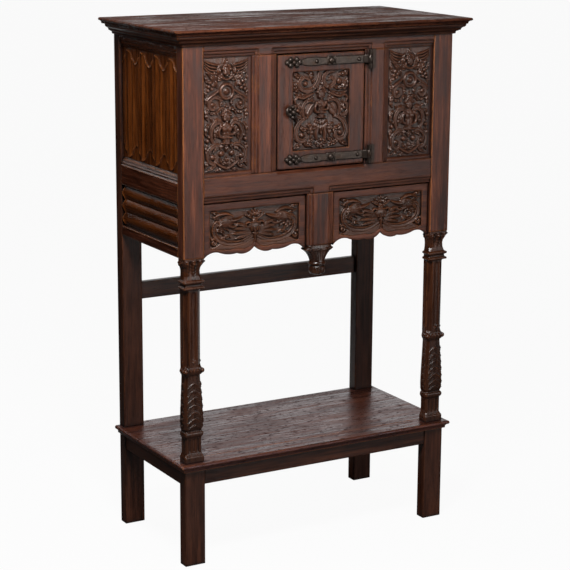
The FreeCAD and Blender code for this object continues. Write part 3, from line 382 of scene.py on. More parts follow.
def carve_door():
    """A child's half-figure in a leaf skirt among leafy scrolls, of which the upper two differ."""
    relief = Relief(-DOOR_HALF, DOOR_HALF, *DOOR_LEVELS, DOOR_SHIFT, CARVING_BASE)
    stroke, leaf, oval, ball = relief.stroke, relief.leaf, relief.oval, relief.ball
    # leaves behind the scrolls
    leaf([(30, 224), (46, 214), (62, 214), (80, 222)], 8.5, 6, 4)
    leaf([(66, 226), (76, 236), (81, 256)], 8, 6, 4)
    leaf([(62, 262), (72, 268), (83, 277)], 8, 6.5)
    leaf([(20, 268), (34, 274), (52, 277)], 5.5, 6)
    leaf([(64, 146), (72, 156), (82, 160)], 7.5, 6)
    leaf([(76, 128), (81, 112), (82, 94)], 5.5, 6, 4)
    leaf([(40, 140), (30, 134), (27, 118), (31, 104)], 8, 6.5, 4)
    leaf([(62, 240), (70, 246), (80, 242)], 6, 7)
    # spray under the upper scroll
    stroke([(24, 220), (40, 213), (56, 209), (70, 212), (79, 205), (76, 196)],
           [3.6, 4.6, 5, 4.6, 4, 3], [7, 8, 8.4, 8, 7.5, 6.5])
    leaf([(36, 218), (27, 211), (22, 202)], 6, 7.6)
    ball((36, 206), 4.6, 8.2)
    ball((28, 203), 3.8, 7.6)
    # wing behind the arm
    oval((36, 178), 13, 17, 6, 4, tilt=18)
    for fold in (0, 5, 10):
        stroke([(27 + 0.5 * fold, 192 - fold), (37 + 0.6 * fold, 178 - fold),
                (36 + 0.4 * fold, 164 - 0.8 * fold)], 2, 7.6)
    stroke([(22, 200), (38, 203), (51, 194), (56, 177), (52, 160)],
           [4, 5.2, 5.8, 5.2, 3.6], [8, 9, 9.2, 8.8, 7.4], channelled)
    # flower and curl at the edge
    stroke([(62, 160), (74, 163), (81, 174), (79, 187), (70, 192)],
           [4.6, 5, 4.8, 4.2, 3.4], [7.5, 8.2, 8.2, 8, 7], channelled)
    leaf([(60, 164), (61, 178), (66, 190), (62, 201)], 7, 7.6)
    ball((70, 178), 5.2, 8.8)
    # lower scroll
    stroke([(44, 157), (58, 151), (71, 138), (76, 120), (69, 103), (54, 99), (44, 107), (46, 118)],
           [3.6, 5.8, 7.4, 7.8, 7.2, 6, 4.6], [7.4, 8.6, 9, 9, 8.6, 8, 7.4], channelled)
    ball((58, 114), 6.8, 9)
    leaf([(60, 138), (54, 128), (42, 126), (36, 114)], 7, 8.4)
    leaf([(54, 97), (64, 90), (76, 82), (84, 80)], 7.5, 8)
    leaf([(52, 98), (42, 89), (30, 87), (22, 78)], 8, 8, 4)
    leaf([(38, 98), (28, 98), (20, 106)], 6, 7)
    # upper scrolls: a wide one on the left, a tight one with a berry on the right
    stroke([(4, 277), (6, 261), (14, 243), (30, 230), (50, 229), (64, 239), (63, 254), (51, 262),
            (38, 256)],
           [5, 6.4, 7, 7, 6.2, 5, 4], [6.5, 8.8, 8.8, 8.6, 8.4, 8, 7.4], channelled, sides=LEFT)
    ball((47, 246), 6.6, 9.4, LEFT)
    leaf([(22, 244), (24, 256), (32, 266), (28, 276)], 6.6, 7, sides=LEFT)
    stroke([(42, 276), (22, 274), (8, 262), (9, 245), (22, 235), (36, 240), (39, 252), (30, 259),
            (22, 253)],
           [4, 5.4, 6.4, 6.6, 6, 5.2, 4], [6.5, 8.2, 8.8, 8.8, 8.6, 8.2, 7.4], channelled, sides=RIGHT)
    ball((54, 248), 8.4, 10.2, RIGHT)
    leaf([(38, 236), (52, 231), (66, 236), (78, 250)], 7, 8.4, 4, RIGHT)
    leaf([(52, 262), (64, 268), (80, 264)], 6.4, 7.6, sides=RIGHT)
    # skirt of hanging leaves over the legs, and the shell below them
    stroke([(10, 130), (13, 116), (12, 102)], [8, 7, 5.5], [7.5, 7.5, 7])
    for x, tip, width in ((20, 124, 7), (11, 116, 7.4), (0, 110, 7)):
        leaf([(0.62 * x, 153), (0.85 * x, 138), (x, tip)], width, 9.4 - 0.05 * x)
    for angle in (0, 32, 64):
        aside, down = math.sin(math.radians(angle)), math.cos(math.radians(angle))
        leaf([(4 * aside, 98 - 3 * down), (13 * aside, 98 - 12 * down), (21 * aside, 98 - 22 * down)],
             6.4, 8.2, 2)
    ball((0, 99), 5, 9)
    half_figure(relief, 197, 0.78, folded=True)
    return relief


# the same for the carving of a front panel, whose own middle moves with its axis
PANEL_HALF = 62
PANEL_LEVELS = (1038.5, 1324)
PANEL_SHIFT = -2.5


def carve_panel(node, folded):
    """An upright grotesque: winged mask, roundel, half-figure, leaf cup and volutes."""
    axis = centre_of(node, X) + PANEL_SHIFT
    relief = Relief(axis - PANEL_HALF, axis + PANEL_HALF, *PANEL_LEVELS, axis, CARVING_BASE)
    stroke, leaf, oval, ball, ring = relief.stroke, relief.leaf, relief.oval, relief.ball, relief.ring
    # drapery under the top corners
    for drop in (0, 7, 14, 21):
        stroke([(61, 318 - 0.8 * drop), (45, 311 - 1.1 * drop), (22, 306 - drop)],
               [2, 3.4, 2.6], [4.5, 6, 5])
    leaf([(5, 273), (16, 280), (22, 294), (15, 311)], 8.4, 8.6)
    leaf([(9, 271), (24, 272), (34, 281), (34, 293)], 6.4, 7.4)
    # sprays beside the roundel
    leaf([(25, 250), (33, 265), (44, 280), (57, 291)], 7.4, 8.6)
    leaf([(50, 262), (57, 272), (58, 286)], 5, 7)
    leaf([(52, 250), (58, 240), (58, 226)], 5.5, 6.5)
    stroke([(24, 242), (33, 236), (45, 229), (56, 220)], [3.6, 4, 4, 3], [7, 8, 8, 7])
    for x, z, radius in ((38, 257, 5.2), (46, 264, 5.4), (50, 254, 5.4), (42, 248, 5), (52, 244, 4.6)):
        ball((x, z), radius, 8.8)
    # volute below the roundel
    leaf([(46, 226), (55, 222), (60, 210)], 6, 6.5)
    stroke([(14, 219), (24, 225), (37, 227), (47, 219), (49, 206), (42, 198), (33, 201), (32, 209)],
           [4.2, 5.2, 5.8, 5.6, 5, 4], [7.5, 8.4, 8.6, 8.6, 8.2, 7.5], channelled)
    ball((40, 209), 5.8, 9)
    leaf([(49, 203), (56, 192), (57, 178), (51, 168)], 7, 7.6, 4)
    leaf([(19, 221), (15, 212), (18, 202)], 5.4, 7.6)
    # wings behind the figure
    leaf([(9, 158), (22, 168), (36, 166), (46, 176)], 7, 7)
    leaf([(46, 160), (54, 154), (59, 142), (57, 128)], 6.2, 7.2)
    stroke([(7, 152), (20, 163), (34, 160), (43, 146), (44, 128), (38, 112)],
           [4.6, 6.2, 6.6, 6.2, 5.2, 3.6], [8, 9, 9.2, 9, 8.4, 7.4], channelled)
    leaf([(18, 156), (25, 140), (26, 124)], 5.4, 7.4, 4)
    leaf([(26, 154), (32.5, 136), (33, 118)], 5.4, 7.4, 4)
    leaf([(30, 190), (40, 186), (50, 192)], 5, 7)
    ball((54, 118), 6, 9.2)
    ball((50, 128), 4.4, 8.2)
    # volute that closes each foot of the panel
    leaf([(52, 112), (58, 100), (59, 84)], 5.5, 6.5)
    stroke([(16, 104), (32, 106), (46, 98), (53, 84), (50, 68), (40, 60), (31, 65), (31, 74)],
           [4.2, 5.4, 6.4, 6.8, 6.2, 5.2, 4], [7.5, 8.4, 8.8, 8.8, 8.4, 8, 7.4], channelled)
    ball((41, 76), 7, 9.6)
    ball((15, 84), 7.6, 10.2)
    leaf([(20, 98), (31, 96), (38, 87)], 5, 7.6)
    leaf([(48, 68), (55, 60), (60, 48)], 6.4, 7.2)
    leaf([(42, 62), (35, 54), (46, 47), (58, 42)], 6, 7.8)
    stroke([(31, 62), (16, 52), (0, 45)], [3.4, 4.6, 4.8], [7, 8.2, 8.6])
    leaf([(3, 55), (12, 62), (19, 75)], 6.4, 8)
    leaf([(12, 46), (22, 44), (34, 41)], 4.5, 6.5)
    # crown and roundel
    leaf([(0, 300), (0, 310), (0, 323)], 7.6, 8.2)
    stroke([(-16, 277), (0, 270), (16, 277)], 4, 8.8)
    head(relief, 291, 27)
    oval((0, 240), 20, 20, 4, 3.4)
    ring((0, 240), 18, 5, 9.6, RIGHT)
    ball((0, 240), 9, 9.2)
    # skirt, leaf cup and figure
    leaf([(6, 112), (14, 103), (17, 92)], 6.4, 8.8)
    leaf([(0, 109), (0, 98), (0, 86)], 6.6, 9.4)
    leaf([(0, 52), (0, 64), (0, 80)], 7.6, 8.6)
    half_figure(relief, 156, 0.92, folded)
    return relief


# half the width and the upper level of a drawer's carving, and its gap to the scalloped edge below
DRAWER_HALF = 130.2
DRAWER_TOP = 937.7
SCALLOP_GAP = 0.3
# upper edge of the raised lip over the scalloped edge: distance from the middle, level
DRAWER_LIP = ((0, 862), (10, 860), (24, 854), (42, 848), (62, 846), (84, 849), (102, 856), (112, 850),
              (131, 844))
LIP_HEIGHT = 6.4
LIP_SLOPE = 5.0
# a level over every point of the scalloped edge, and the share to which the carving is flattened
SCALLOPS_BELOW = 880.0
DRAWER_FLATNESS = 0.95


def lower_edge(node, left, right):
    """Levels of the lower edge of a drawer's sunk field, at even steps from left to right."""
    points = np.array([vertex.co for vertex in nodes[node].data.vertices]) / MM
    on_floor = points[(np.abs(points[:, Y] - DRAWER_FIELD) < 0.01) & (points[:, Z] < SCALLOPS_BELOW)]
    order = np.argsort(on_floor[:, X])
    return np.interp(np.linspace(left, right, 120), on_floor[order, X], on_floor[order, Z])


def carve_drawer(node):
    """A vase under a palmette between two sea beasts whose bodies curl below to its foot."""
    axis = centre_of(node, X)
    left, right = axis - DRAWER_HALF, axis + DRAWER_HALF
    relief = Relief(left, right, lower_edge(node, left, right) + SCALLOP_GAP, DRAWER_TOP, axis)
    lip = np.interp(np.abs(relief.x - axis), *zip(*DRAWER_LIP))
    relief.height = LIP_HEIGHT * np.clip((lip - relief.z) / LIP_SLOPE, 0, 1)
    stroke, leaf, oval, ball, ring = relief.stroke, relief.leaf, relief.oval, relief.ball, relief.ring
    # palmette
    for angle, length in ((22, 26), (46, 29), (68, 32)):
        aside, up = math.sin(math.radians(angle)), math.cos(math.radians(angle))
        foot = (4 * aside, 910 + 2 * up)
        tip = (length * aside, 910 + min(length * up, 26))
        leaf([foot, ((foot[0] + tip[0]) / 2, (foot[1] + tip[1]) / 2 - 1.5), tip], 5.4, 7.8, 2)
    # long smooth leaves from the foot of the vase to the beast's mouth
    for tip, bow in (((62, 901), 3), ((66, 887), 2), ((66, 873), 0), ((58, 860), -2)):
        path = [(11, 874 + 0.2 * (tip[1] - 880)), (36, 0.6 * tip[1] + 0.4 * 876 + bow), tip]
        stroke(path, [2.5, 5.2, 6.2, 5.2, 1.2], [6, 7.2, 7.6, 7, 4.5])
        stroke(path, 0.9, [0.5, 1.6, 1.6, 0.5], sink=True)
    # fins and leaves inside the body
    leaf([(114, 886), (103, 886), (92, 880), (86, 868)], 7.4, 7.6)
    leaf([(102, 866), (91, 864), (76, 870), (68, 862)], 6, 7.6)
    leaf([(106, 898), (94, 893), (82, 890), (74, 880)], 7, 8)
    # beast: head, jaws, eye, brow and crest
    oval((82, 907), 22, 15.5, 9.2, 5, tilt=-14)
    stroke([(74, 908), (58, 909), (45, 912), (34, 917)], [8.5, 6.6, 4.6, 2.2], [9, 8.6, 8, 6.5])
    stroke([(78, 897), (66, 892), (56, 893), (50, 900)], [6.6, 5.6, 4.4, 2.6], [8.6, 8, 7.6, 6.5])
    ring((77, 911), 5, 1.8, 10.2)
    ball((77, 911), 3, 10.6)
    stroke([(64, 920), (78, 926), (94, 928), (112, 923)], [3.2, 5.2, 5.6, 4], [8, 9, 8.8, 7.5])
    leaf([(98, 925), (112, 931), (128, 935)], 5.8, 8)
    leaf([(100, 916), (114, 919), (127, 922)], 5, 7)
    for drop in (0, 6, 12):
        stroke([(92, 916 - drop), (101, 912 - drop), (106, 905 - drop)], 2.6, 9.4)
    # body that runs round below and back to the vase
    stroke([(98, 904), (111, 904), (118, 892), (116, 876), (105, 862), (85, 853), (61, 849), (38, 851),
            (20, 858), (8, 864)], [8, 8, 8, 8, 7.6, 7, 6.4, 5.8, 5],
           [8.8, 8.8, 8.9, 8.9, 8.6, 8.4, 8.2, 8, 7.4], channelled)
    # volute in the lower corner
    shares = np.linspace(0, 1, 15)
    curl = wound((120, 856), 10 * (1 - 0.75 * shares), math.radians(50) + 2.2 * math.pi * shares)
    stroke([(128, 868), *curl], [2.6, 3.8, 3.8, 3.2], [7, 8.4, 8.4, 8.4])
    ball((120, 856), 4, 9.2)
    leaf([(106, 852), (96, 847), (84, 845)], 4.5, 6.5)
    stroke([(9, 893), (17, 900), (25, 898), (26, 890)], [2.6, 3.4, 3.4, 3], [8.5, 9, 9, 8.5])
    leaf([(0, 910), (0, 922), (0, 937)], 5.4, 8.6, 2)
    stroke([(-27, 919), (-13, 911), (0, 908), (13, 911), (27, 919)], [2, 3.2, 3.6, 3.2, 2], 7.5)
    # vase
    oval((0, 889), 19, 13.5, 10.4, 5.5)
    for x in (4, 11):
        stroke([(x, 879), (1.25 * x, 889)], 2.9, 11.4)
    stroke([(-14, 898), (0, 900), (14, 898)], 3.2, 10.8)
    oval((0, 904), 8.5, 6, 9.8, 5)
    ball((0, 910), 4, 9.8)
    stroke([(0, 878), (0, 868), (0, 858), (0, 847)], [5, 6.2, 5.4, 10], [9.4, 9.8, 9, 8.4])
    stroke([(-6, 871), (0, 870), (6, 871)], 2.4, 10.4)
    relief.height *= DRAWER_FLATNESS
    return relief


# Linenfold side panels

CLOTH_BACK = span("side_right_upper_panel", X)[0]
CLOTH_FACE = CLOTH_BACK + 12.0
# how far a panel reaches into the grooves round it
CLOTH_LAP = 1.0
CLOTH_DEPTHS = (FRONT_POST_BACK - CLOTH_LAP, span("post_rear_left", Y)[0] + CLOTH_LAP)
CLOTH_RAILS = {"upper": ("middle", "top"), "lower": ("bottom", "middle")}
CLOTH_LEVELS = {panel: (span(f"side_left_{below}_rail", Z)[1] - CLOTH_LAP,
                        span(f"side_left_{above}_rail", Z)[0] + CLOTH_LAP)
                for panel, (below, above) in CLOTH_RAILS.items()}
CLOTH_MARGIN = 5.0
# spacing of the points at the ends of the folds and between them
CLOTH_STEP = 1.2
CLOTH_LONG_STEP = 9.0
# how far the cloth stands off in its valleys, and how much further on a lying roll and on upright ridges
VALLEY = 1.4
ROLL = 5.2
MIDDLE_RIDGE = 4.6
SIDE_RIDGE = 2.6
# height of the hem at the upper or rear ends of the folds, and at the others
HEMS = (3.0, 1.0)


def linenfold(side, panel):
    """A board carved as folded cloth: ridges and hollows that end in hemmed points.

    The folds of an upper panel stand upright, and those of a lower one lie.
    """
    lying = panel == "lower"
    spans = (CLOTH_LEVELS[panel], CLOTH_DEPTHS)
    across_span, along_span = spans if lying else spans[::-1]
    folds, drop = (3, 9.0) if lying else (4, 34.0)
    fine = drop + CLOTH_MARGIN + 6.0
    low, high = along_span
    along = np.concatenate([np.arange(low, low + fine, CLOTH_STEP),
                            np.arange(low + fine, high - fine, CLOTH_LONG_STEP),
                            np.arange(high - fine, high, CLOTH_STEP), [high]])
    across = np.linspace(*across_span, int((across_span[1] - across_span[0]) / CLOTH_STEP))
    run, place = np.meshgrid(across, along)
    inner = (across_span[0] + CLOTH_MARGIN, across_span[1] - CLOTH_MARGIN)
    share = (run - inner[0]) * folds / (inner[1] - inner[0])
    # 0 on the middle ridge of a fold, 1 in the valley beside it
    off = np.abs(2 * (share % 1) - 1)
    if lying:
        cloth = VALLEY + ROLL * np.clip(1 - off ** 2, 0, 1)
    else:
        cloth = VALLEY + MIDDLE_RIDGE * bump(off, 0.24) + SIDE_RIDGE * bump(off - 0.56, 0.13)
    point = drop * (off - 0.1 * np.sin(2 * math.pi * off))
    ends = np.minimum(place - low, high - place) - CLOTH_MARGIN - point
    hem = np.where(place > np.mean(along_span), *HEMS) * bump(ends - 2.8, 2.6)
    covered = (ends > 0) & (run > inner[0]) & (run < inner[1])
    x = side * (CLOTH_FACE + np.where(covered, cloth + hem, 0.0))
    front = points_at(x, place, run) if lying else points_at(x, run, place)
    points, faces = backed(front, x.shape, X, side * CLOTH_BACK)
    if (side < 0) != lying:
        faces = [face[::-1] for face in faces]
    return points, faces


# Front columns

COLUMN_AXIS = centre_of("post_front_right", X)
COLUMN_FULL = 28.5
COLUMN_TOP = 821.7
# height, half the width, corner chamfer
COLUMN_LEVELS = (
    (281.3, 27.0, 1.5), (282.5, 27.5, 1.5), (296.5, 27.5, 1.5), (298.5, 26.8, 1.5), (300.0, 25.8, 2.0),
    (303.0, 24.6, 3.0), (305.5, 23.4, 3.0), (307.0, 23.0, 3.5), (348.0, 23.0, 3.5), (349.5, 24.2, 3.5),
    (351.0, 24.4, 4.0), (352.5, 26.0, 3.0), (355.5, 27.2, 3.0), (359.5, 27.4, 3.0), (363.0, 26.4, 3.0),
    (365.0, 24.6, 4.0), (367.0, 23.6, 5.0), (369.0, 24.6, 5.0), (374.0, 26.2, 5.0), (392.0, 27.0, 5.0),
    (420.0, 26.2, 5.0), (458.0, 24.4, 5.0), (494.0, 22.6, 5.5), (512.0, 22.0, 6.0), (516.5, 22.4, 6.0),
    (518.0, 24.4, 4.0), (522.0, 25.4, 3.5), (531.0, 25.4, 3.5), (535.0, 24.6, 5.0), (537.0, 24.6, 9.0),
    (543.0, 24.8, 13.0), (736.0, 24.8, 13.0), (741.0, 24.8, 9.0), (742.5, 25.4, 4.0), (743.2, 29.2, 2.0),
    (744.5, 30.0, 2.0), (747.5, 30.0, 2.0), (748.8, 29.0, 2.0), (749.8, 26.0, 2.5), (752.0, 25.0, 2.5),
    (755.5, 25.0, 2.5), (757.6, 26.4, 2.0), (758.6, 29.2, 2.0), (760.0, 30.0, 2.0), (763.5, 30.0, 2.0),
    (764.6, 29.4, 2.0), (765.2, 26.0, 3.0), (766.5, 25.0, 4.0), (770.0, 24.2, 5.0), (776.0, 23.2, 7.0),
    (788.0, 22.8, 7.5), (800.0, 24.2, 6.0), (810.0, 26.6, 4.0), (815.0, 28.0, 2.5), (816.5, 28.5, 1.5),
    (821.7, 28.5, 1.5),
)
# stretches of the column: first level, last level, spacing of the rings of points
COLUMN_STRETCHES = ((281.3, 376, 1.3), (376, 516, 1.15), (516, 560, 1.1), (560, 730, 5.0), (730, 776, 0.9),
                    (776, COLUMN_TOP, 1.05))
# flutes of the dado on the column's front and on its flanks, as shares of half the width
FRONT_FLUTES = (-0.5, 0.0, 0.5)
FLANK_FLUTES = (-0.3, 0.3)
# tips of the leaf tiers, from the lowest up, and the level at which they start
LEAF_TIPS = (384.0, 402.0, 420.0, 439.0, 457.0, 476.0, 495.0)
LEAF_FOOT = 370.0
# middles of the dado, of the collar and of the shaft, and the level of the bead at the shaft's foot
DADO, COLLAR, SHAFT, BEAD = 327.5, 527.5, 645.0, 550.0
# depth, half the length and radius of the flutes of the dado and of the shaft
DADO_FLUTE = (2.4, 14.0, 3.8)
SHAFT_FLUTE = (2.6, 84.0, 7.4)
# levels between which the capital flares, and those of its curled leaf tips and of its volutes
FLARE_LOW, FLARE_HIGH, CURLED_TIPS, VOLUTES = 777, 811, 809, 808
CAPITAL_HIGH = 816


def leaf_tiers(across, level):
    """Overlapping upright leaves; across runs from 0 on the midrib to 1 at the edge of the leaf."""
    lift = np.zeros_like(across)
    foot = np.full_like(across, LEAF_FOOT)
    for tip in LEAF_TIPS:
        arch = tip - 17.0 * across ** 1.7
        inside = (level >= foot) & (level < arch) & (across < 1)
        rise = np.clip((level - foot) / np.maximum(arch - foot, 1.0), 0, 1)
        ribs = 0.5 * np.cos(2 * math.pi * (level + 14.0 * across) / 5.5)
        leaf = 3.6 * rise ** 1.5 + ribs - 1.2 * bump(across, 0.07) + 1.4 * bump(across, 0.45) * rise ** 3
        lift = np.where(inside, leaf, lift)
        foot = np.maximum(foot, arch)
    return lift


def hollow(across, up, depth, half_length, radius):
    """Depth of an upright groove with round ends."""
    gap = np.hypot(across, np.maximum(np.abs(up) - half_length, 0))
    return depth * dome((gap / radius) ** 2)


def column_carving(across, half, level, flutes):
    """How far the carving stands off the plain shape, at a distance across from the middle of a face."""
    across = np.asarray(across)
    share = np.abs(across) / half
    lift = leaf_tiers(share / 0.86, level)
    for flute in flutes:
        lift -= hollow(across - flute * half, level - DADO, *DADO_FLUTE)
    lift -= hollow(across, level - SHAFT, *SHAFT_FLUTE)
    lift += 2.4 * dome((across / 3.4) ** 2 + ((level - BEAD) / 3.4) ** 2)
    # curled leaves of the collar
    for curl in (-0.4, 0.0, 0.4):
        lift += 2.8 * bump(across - curl * half, 3.8) * bump(level - COLLAR, 5.6)
    for corner in (-half, half):
        lift += 6.4 * dome(((across - corner) / 7.0) ** 2 + ((level - COLLAR) / 6.4) ** 2)
    # leaves and corner volutes of the capital
    bell = np.clip((level - FLARE_LOW) / (FLARE_HIGH - FLARE_LOW), 0, 1) * (level < CAPITAL_HIGH)
    blades = np.cos(3 * math.pi * share) * (1.6 + 3.2 * bell)
    lift += bell ** 0.7 * (0.4 + blades) * (share < 0.9)
    lift += 2.6 * bump(across, 6.0) * bump(level - CURLED_TIPS, 4.5)
    lift += np.cos(2 * math.pi * (level - 0.5 * np.abs(across)) / 8.0) * bell * (share < 0.92)
    for turn, height in ((6.0, 4.4), (2.6, -3.0)):
        lift += height * bump(np.abs(across) - 0.9 * half, turn) * bump(level - VOLUTES, turn)
    return lift


def column(side):
    """A carved column with a flat back, from the platform to the case."""
    heights, halves, chamfers = np.array(COLUMN_LEVELS).T
    flank = np.linspace(0, 1, 15, endpoint=False)
    corner = np.linspace(0, 1, 6, endpoint=False)
    face = np.linspace(0, 1, 16)
    turn = 0.5 * math.pi * corner
    rings = []
    for level in np.concatenate([np.arange(*stretch) for stretch in COLUMN_STRETCHES] + [[COLUMN_TOP]]):
        half = np.interp(level, heights, halves)
        chamfer = np.interp(level, heights, chamfers)
        front = FRONT + COLUMN_FULL - half + 0.5
        middle = 0.5 * (FRONT_POST_BACK + front)
        reach = 0.5 * (FRONT_POST_BACK - front)
        flank_y = FRONT_POST_BACK - flank * (FRONT_POST_BACK - (front + chamfer))
        flank_lift = column_carving(flank_y - middle, reach, level, FLANK_FLUTES)
        flank_lift = flank_lift * np.minimum(1.0, 4 * flank)
        lift = ((1 - corner) * column_carving(-reach, reach, level, FLANK_FLUTES)
                + corner * column_carving(-half, half, level, FRONT_FLUTES))
        face_x = -(half - chamfer) * (1 - face)
        x = np.concatenate([-half - flank_lift, -half + chamfer * corner - lift * np.cos(turn), face_x])
        y = np.concatenate([flank_y, front + chamfer * (1 - corner) - lift * np.sin(turn),
                            front - column_carving(face_x, half, level, FRONT_FLUTES)])
        # the right half mirrors the left one, and both share the middle of the face
        ring_x = np.concatenate([x, -x[-2::-1]])
        ring_y = np.concatenate([y, y[-2::-1]])
        rings.append(points_at(side * COLUMN_AXIS + ring_x, ring_y, level))
    return lofted(rings)


# Pendant

# height, half the width, half the depth
PENDANT_LEVELS = (
    (741.2, 8.0, 8.0), (741.5, 14.0, 14.0), (743.5, 18.5, 18.5), (747.5, 21.3, 21.3),
    (753.0, 22.0, 21.8), (760.0, 21.6, 21.6), (763.0, 20.2, 20.2), (765.0, 18.6, 18.6),
    (767.0, 19.4, 19.4), (767.6, 23.0, 21.6), (769.0, 24.2, 21.9), (772.0, 24.2, 21.9),
    (774.0, 22.6, 21.4), (775.5, 20.8, 20.4), (780.0, 21.0, 20.0), (786.0, 22.4, 19.6),
    (792.0, 25.0, 19.6), (798.0, 28.8, 19.8), (803.0, 33.4, 20.2), (807.0, 38.6, 20.8),
    (810.0, 42.0, 21.2), (812.0, 41.4, 21.0), (814.0, 39.0, 20.4), (821.7, 37.0, 19.8),
)
PENDANT_Y = -167.0
# the leaves are cut off at these depths
PENDANT_DEPTHS = (-189.5, -146.0)
PENDANT_LEAVES = 10
# the rounded foot has its own levels up to here, and the rest is sampled finely
PENDANT_FOOT = 755.0


def pendant():
    """A fluted drum under a ring and a flaring cup of leaves."""
    heights, widths, depths = np.array(PENDANT_LEVELS).T
    levels = np.concatenate([heights[heights < PENDANT_FOOT], np.arange(PENDANT_FOOT, 821.0, 1.0),
                             heights[-1:]])
    turns = around(160)
    # 0 on a leaf's midrib, 1 at its edge
    leaf = np.abs((turns * PENDANT_LEAVES / (2 * math.pi) + 0.5) % 1 - 0.5) * 2
    rings = []
    for level in levels:
        half_width = np.interp(level, heights, widths)
        half_depth = np.interp(level, heights, depths)
        # the cup turns from round to square as it rises
        square = 2.0 + 1.6 * np.clip((level - 780) / 30, 0, 1)
        stretch = (np.abs(np.cos(turns)) ** square + np.abs(np.sin(turns)) ** square) ** (-1 / square)
        rise = np.clip((level - 779) / 31, 0, 1) * (level < 813)
        ribs = 0.5 * np.cos(2 * math.pi * (level - 9.0 * leaf) / 6.0)
        lift = rise ** 0.6 * (3.6 * dome(leaf ** 2) + ribs - 1.3 * bump(leaf, 0.14) - 2.6)
        lift = lift + 2.2 * bump(level - 809.0, 2.6) * bump(leaf, 0.45)
        drum = np.clip((762 - level) / 3, 0, 1) * (level > 744)
        flute = 1.5 * (1 - np.abs(np.sin(9 * turns))) ** 2 * drum
        reach = stretch + (lift - flute) / half_width
        y = np.clip(PENDANT_Y + half_depth * reach * np.sin(turns), *PENDANT_DEPTHS)
        rings.append(points_at(half_width * reach * np.cos(turns), y, level))
    return lofted(rings)


# Iron strap hinges, knob and latch

HINGE_X, HINGE_Y, _ = joint_place("door_hinge")
LATCH_X, _, LATCH_LEVEL = joint_place("latch_turn")
STRAP_THICK = 3.0
FLOWER_X = -84.0
BOSS_X = 28.5
NAILS_X = (-16.5, 111.0)
RIBS_X = (17.5, 40.5)
# half the strap's width along it: flower stem, leaf, waist, boss, plain band
STRAP_WIDTHS = ((-84, 5.0), (-63, 5.0), (-58, 7.4), (-48, 10.0), (-32, 11.2), (-10, 10.6), (8, 9.4),
                (15, 9.2), (18, 11.4), (39, 11.4), (43, 10.6), (141, 10.6))
# where the strap is cranked towards the pin, and how far
CRANK = ((124.0, 136.0), (0.0, 8.0))
# radius and height over the strap's middle: ribs beside the boss, eye round the pin
STRAP_RIB = ((1.2, -11.6), (1.9, -11.0), (1.9, 11.0), (1.2, 11.6))
STRAP_EYE = ((5.0, -11.0), (6.0, -10.2), (6.0, 10.2), (5.0, 11.0))
# radius and place along Y: spindle, rose, neck, knob
KNOB_PROFILE = (
    (4.0, -154.6), (4.0, -181.8), (11.4, -181.8), (12.0, -182.6), (11.5, -184.2),
    (6.0, -185.0), (4.4, -186.5), (4.2, -191.0), (5.4, -194.0), (6.6, -198.0),
    (6.6, -202.0), (5.2, -205.0), (3.0, -206.6), (0.8, -207.0),
)
KNOB_PETALS_Y = -193.0
# height over the knob's axis and half the width of the tongue behind the door
TONGUE_LEVELS = ((-7.0, 5.0), (-5.0, 7.0), (50.0, 7.0), (56.0, 6.0), (58.0, 4.0))


def turned(centre, profile, axis, spokes=32):
    """A turned shape about an axis through a centre; the profile gives radii and places along the axis."""
    turns = around(spokes)
    rings = []
    for radius, along in profile:
        ring = [radius * np.cos(turns), radius * np.sin(turns)]
        ring.insert(axis, along)
        rings.append(points_at(*ring) + centre)
    return lofted(rings)


def lobed_dome(centre, foot, radius, height, lobes=0, notch=0.0, rings=6, spokes=48):
    """A nail head, boss or flower on an upright face at Y = foot, its outline notched into petals."""
    turns = around(spokes)
    points = [[(centre[0], foot - height, centre[1])]]
    for share in np.arange(1, rings + 1) / rings:
        dent = notch * share * (0.5 - 0.5 * np.cos(lobes * turns))
        out = radius * share * (1 - dent)
        up = height * math.sqrt(1 - 0.98 * share ** 2) * (1 - 0.5 * dent)
        x, z = wound(centre, out, turns).T
        points.append(points_at(x, foot - up, z))
    points.append(points[-1] * (1, 0, 1) + (0, foot, 0))
    faces = [(0, 1 + index, 1 + (index + 1) % spokes) for index in range(spokes)]
    faces += [face[::-1] for face in grid_faces(rings + 1, spokes, start=1, closed=True)]
    foot_ring = 1 + rings * spokes
    faces.append(list(range(foot_ring, foot_ring + spokes))[::-1])
    return np.concatenate(points), faces


def petals(centre, reach, first, foot, radius, height):
    """Six round petals; reach is how far they sit aside and up, first the turn of one, in degrees."""
    turns = math.radians(first) + around(6)
    places = zip(centre[0] + reach[0] * np.cos(turns), centre[1] + reach[1] * np.sin(turns))
    return [lobed_dome(place, foot, radius, height, rings=5, spokes=24) for place in places]


def strap_bar(level):
    """The bar from the flower's stem to the hinge, bevelled, slightly crowned and cranked to the pin."""
    known_x, known_half = np.array(STRAP_WIDTHS).T
    rings = []
    for x in np.unique(np.concatenate([np.arange(FLOWER_X, HINGE_X, 3.0), known_x])):
        half = np.interp(x, known_x, known_half)
        foot = DOOR_FACE - np.interp(x, *CRANK)
        top = foot - STRAP_THICK
        upper = [(foot, half), (foot - 1.9, half), (foot - 2.6, half - 0.5),
                 (top, half - 1.7), (top, half - 3.0)]
        lower = [(y, -reach) for y, reach in upper[::-1]]
        rings.append([(x, y, level + reach) for y, reach in upper + [(top - 0.15, 0.0)] + lower])
    return lofted(rings)


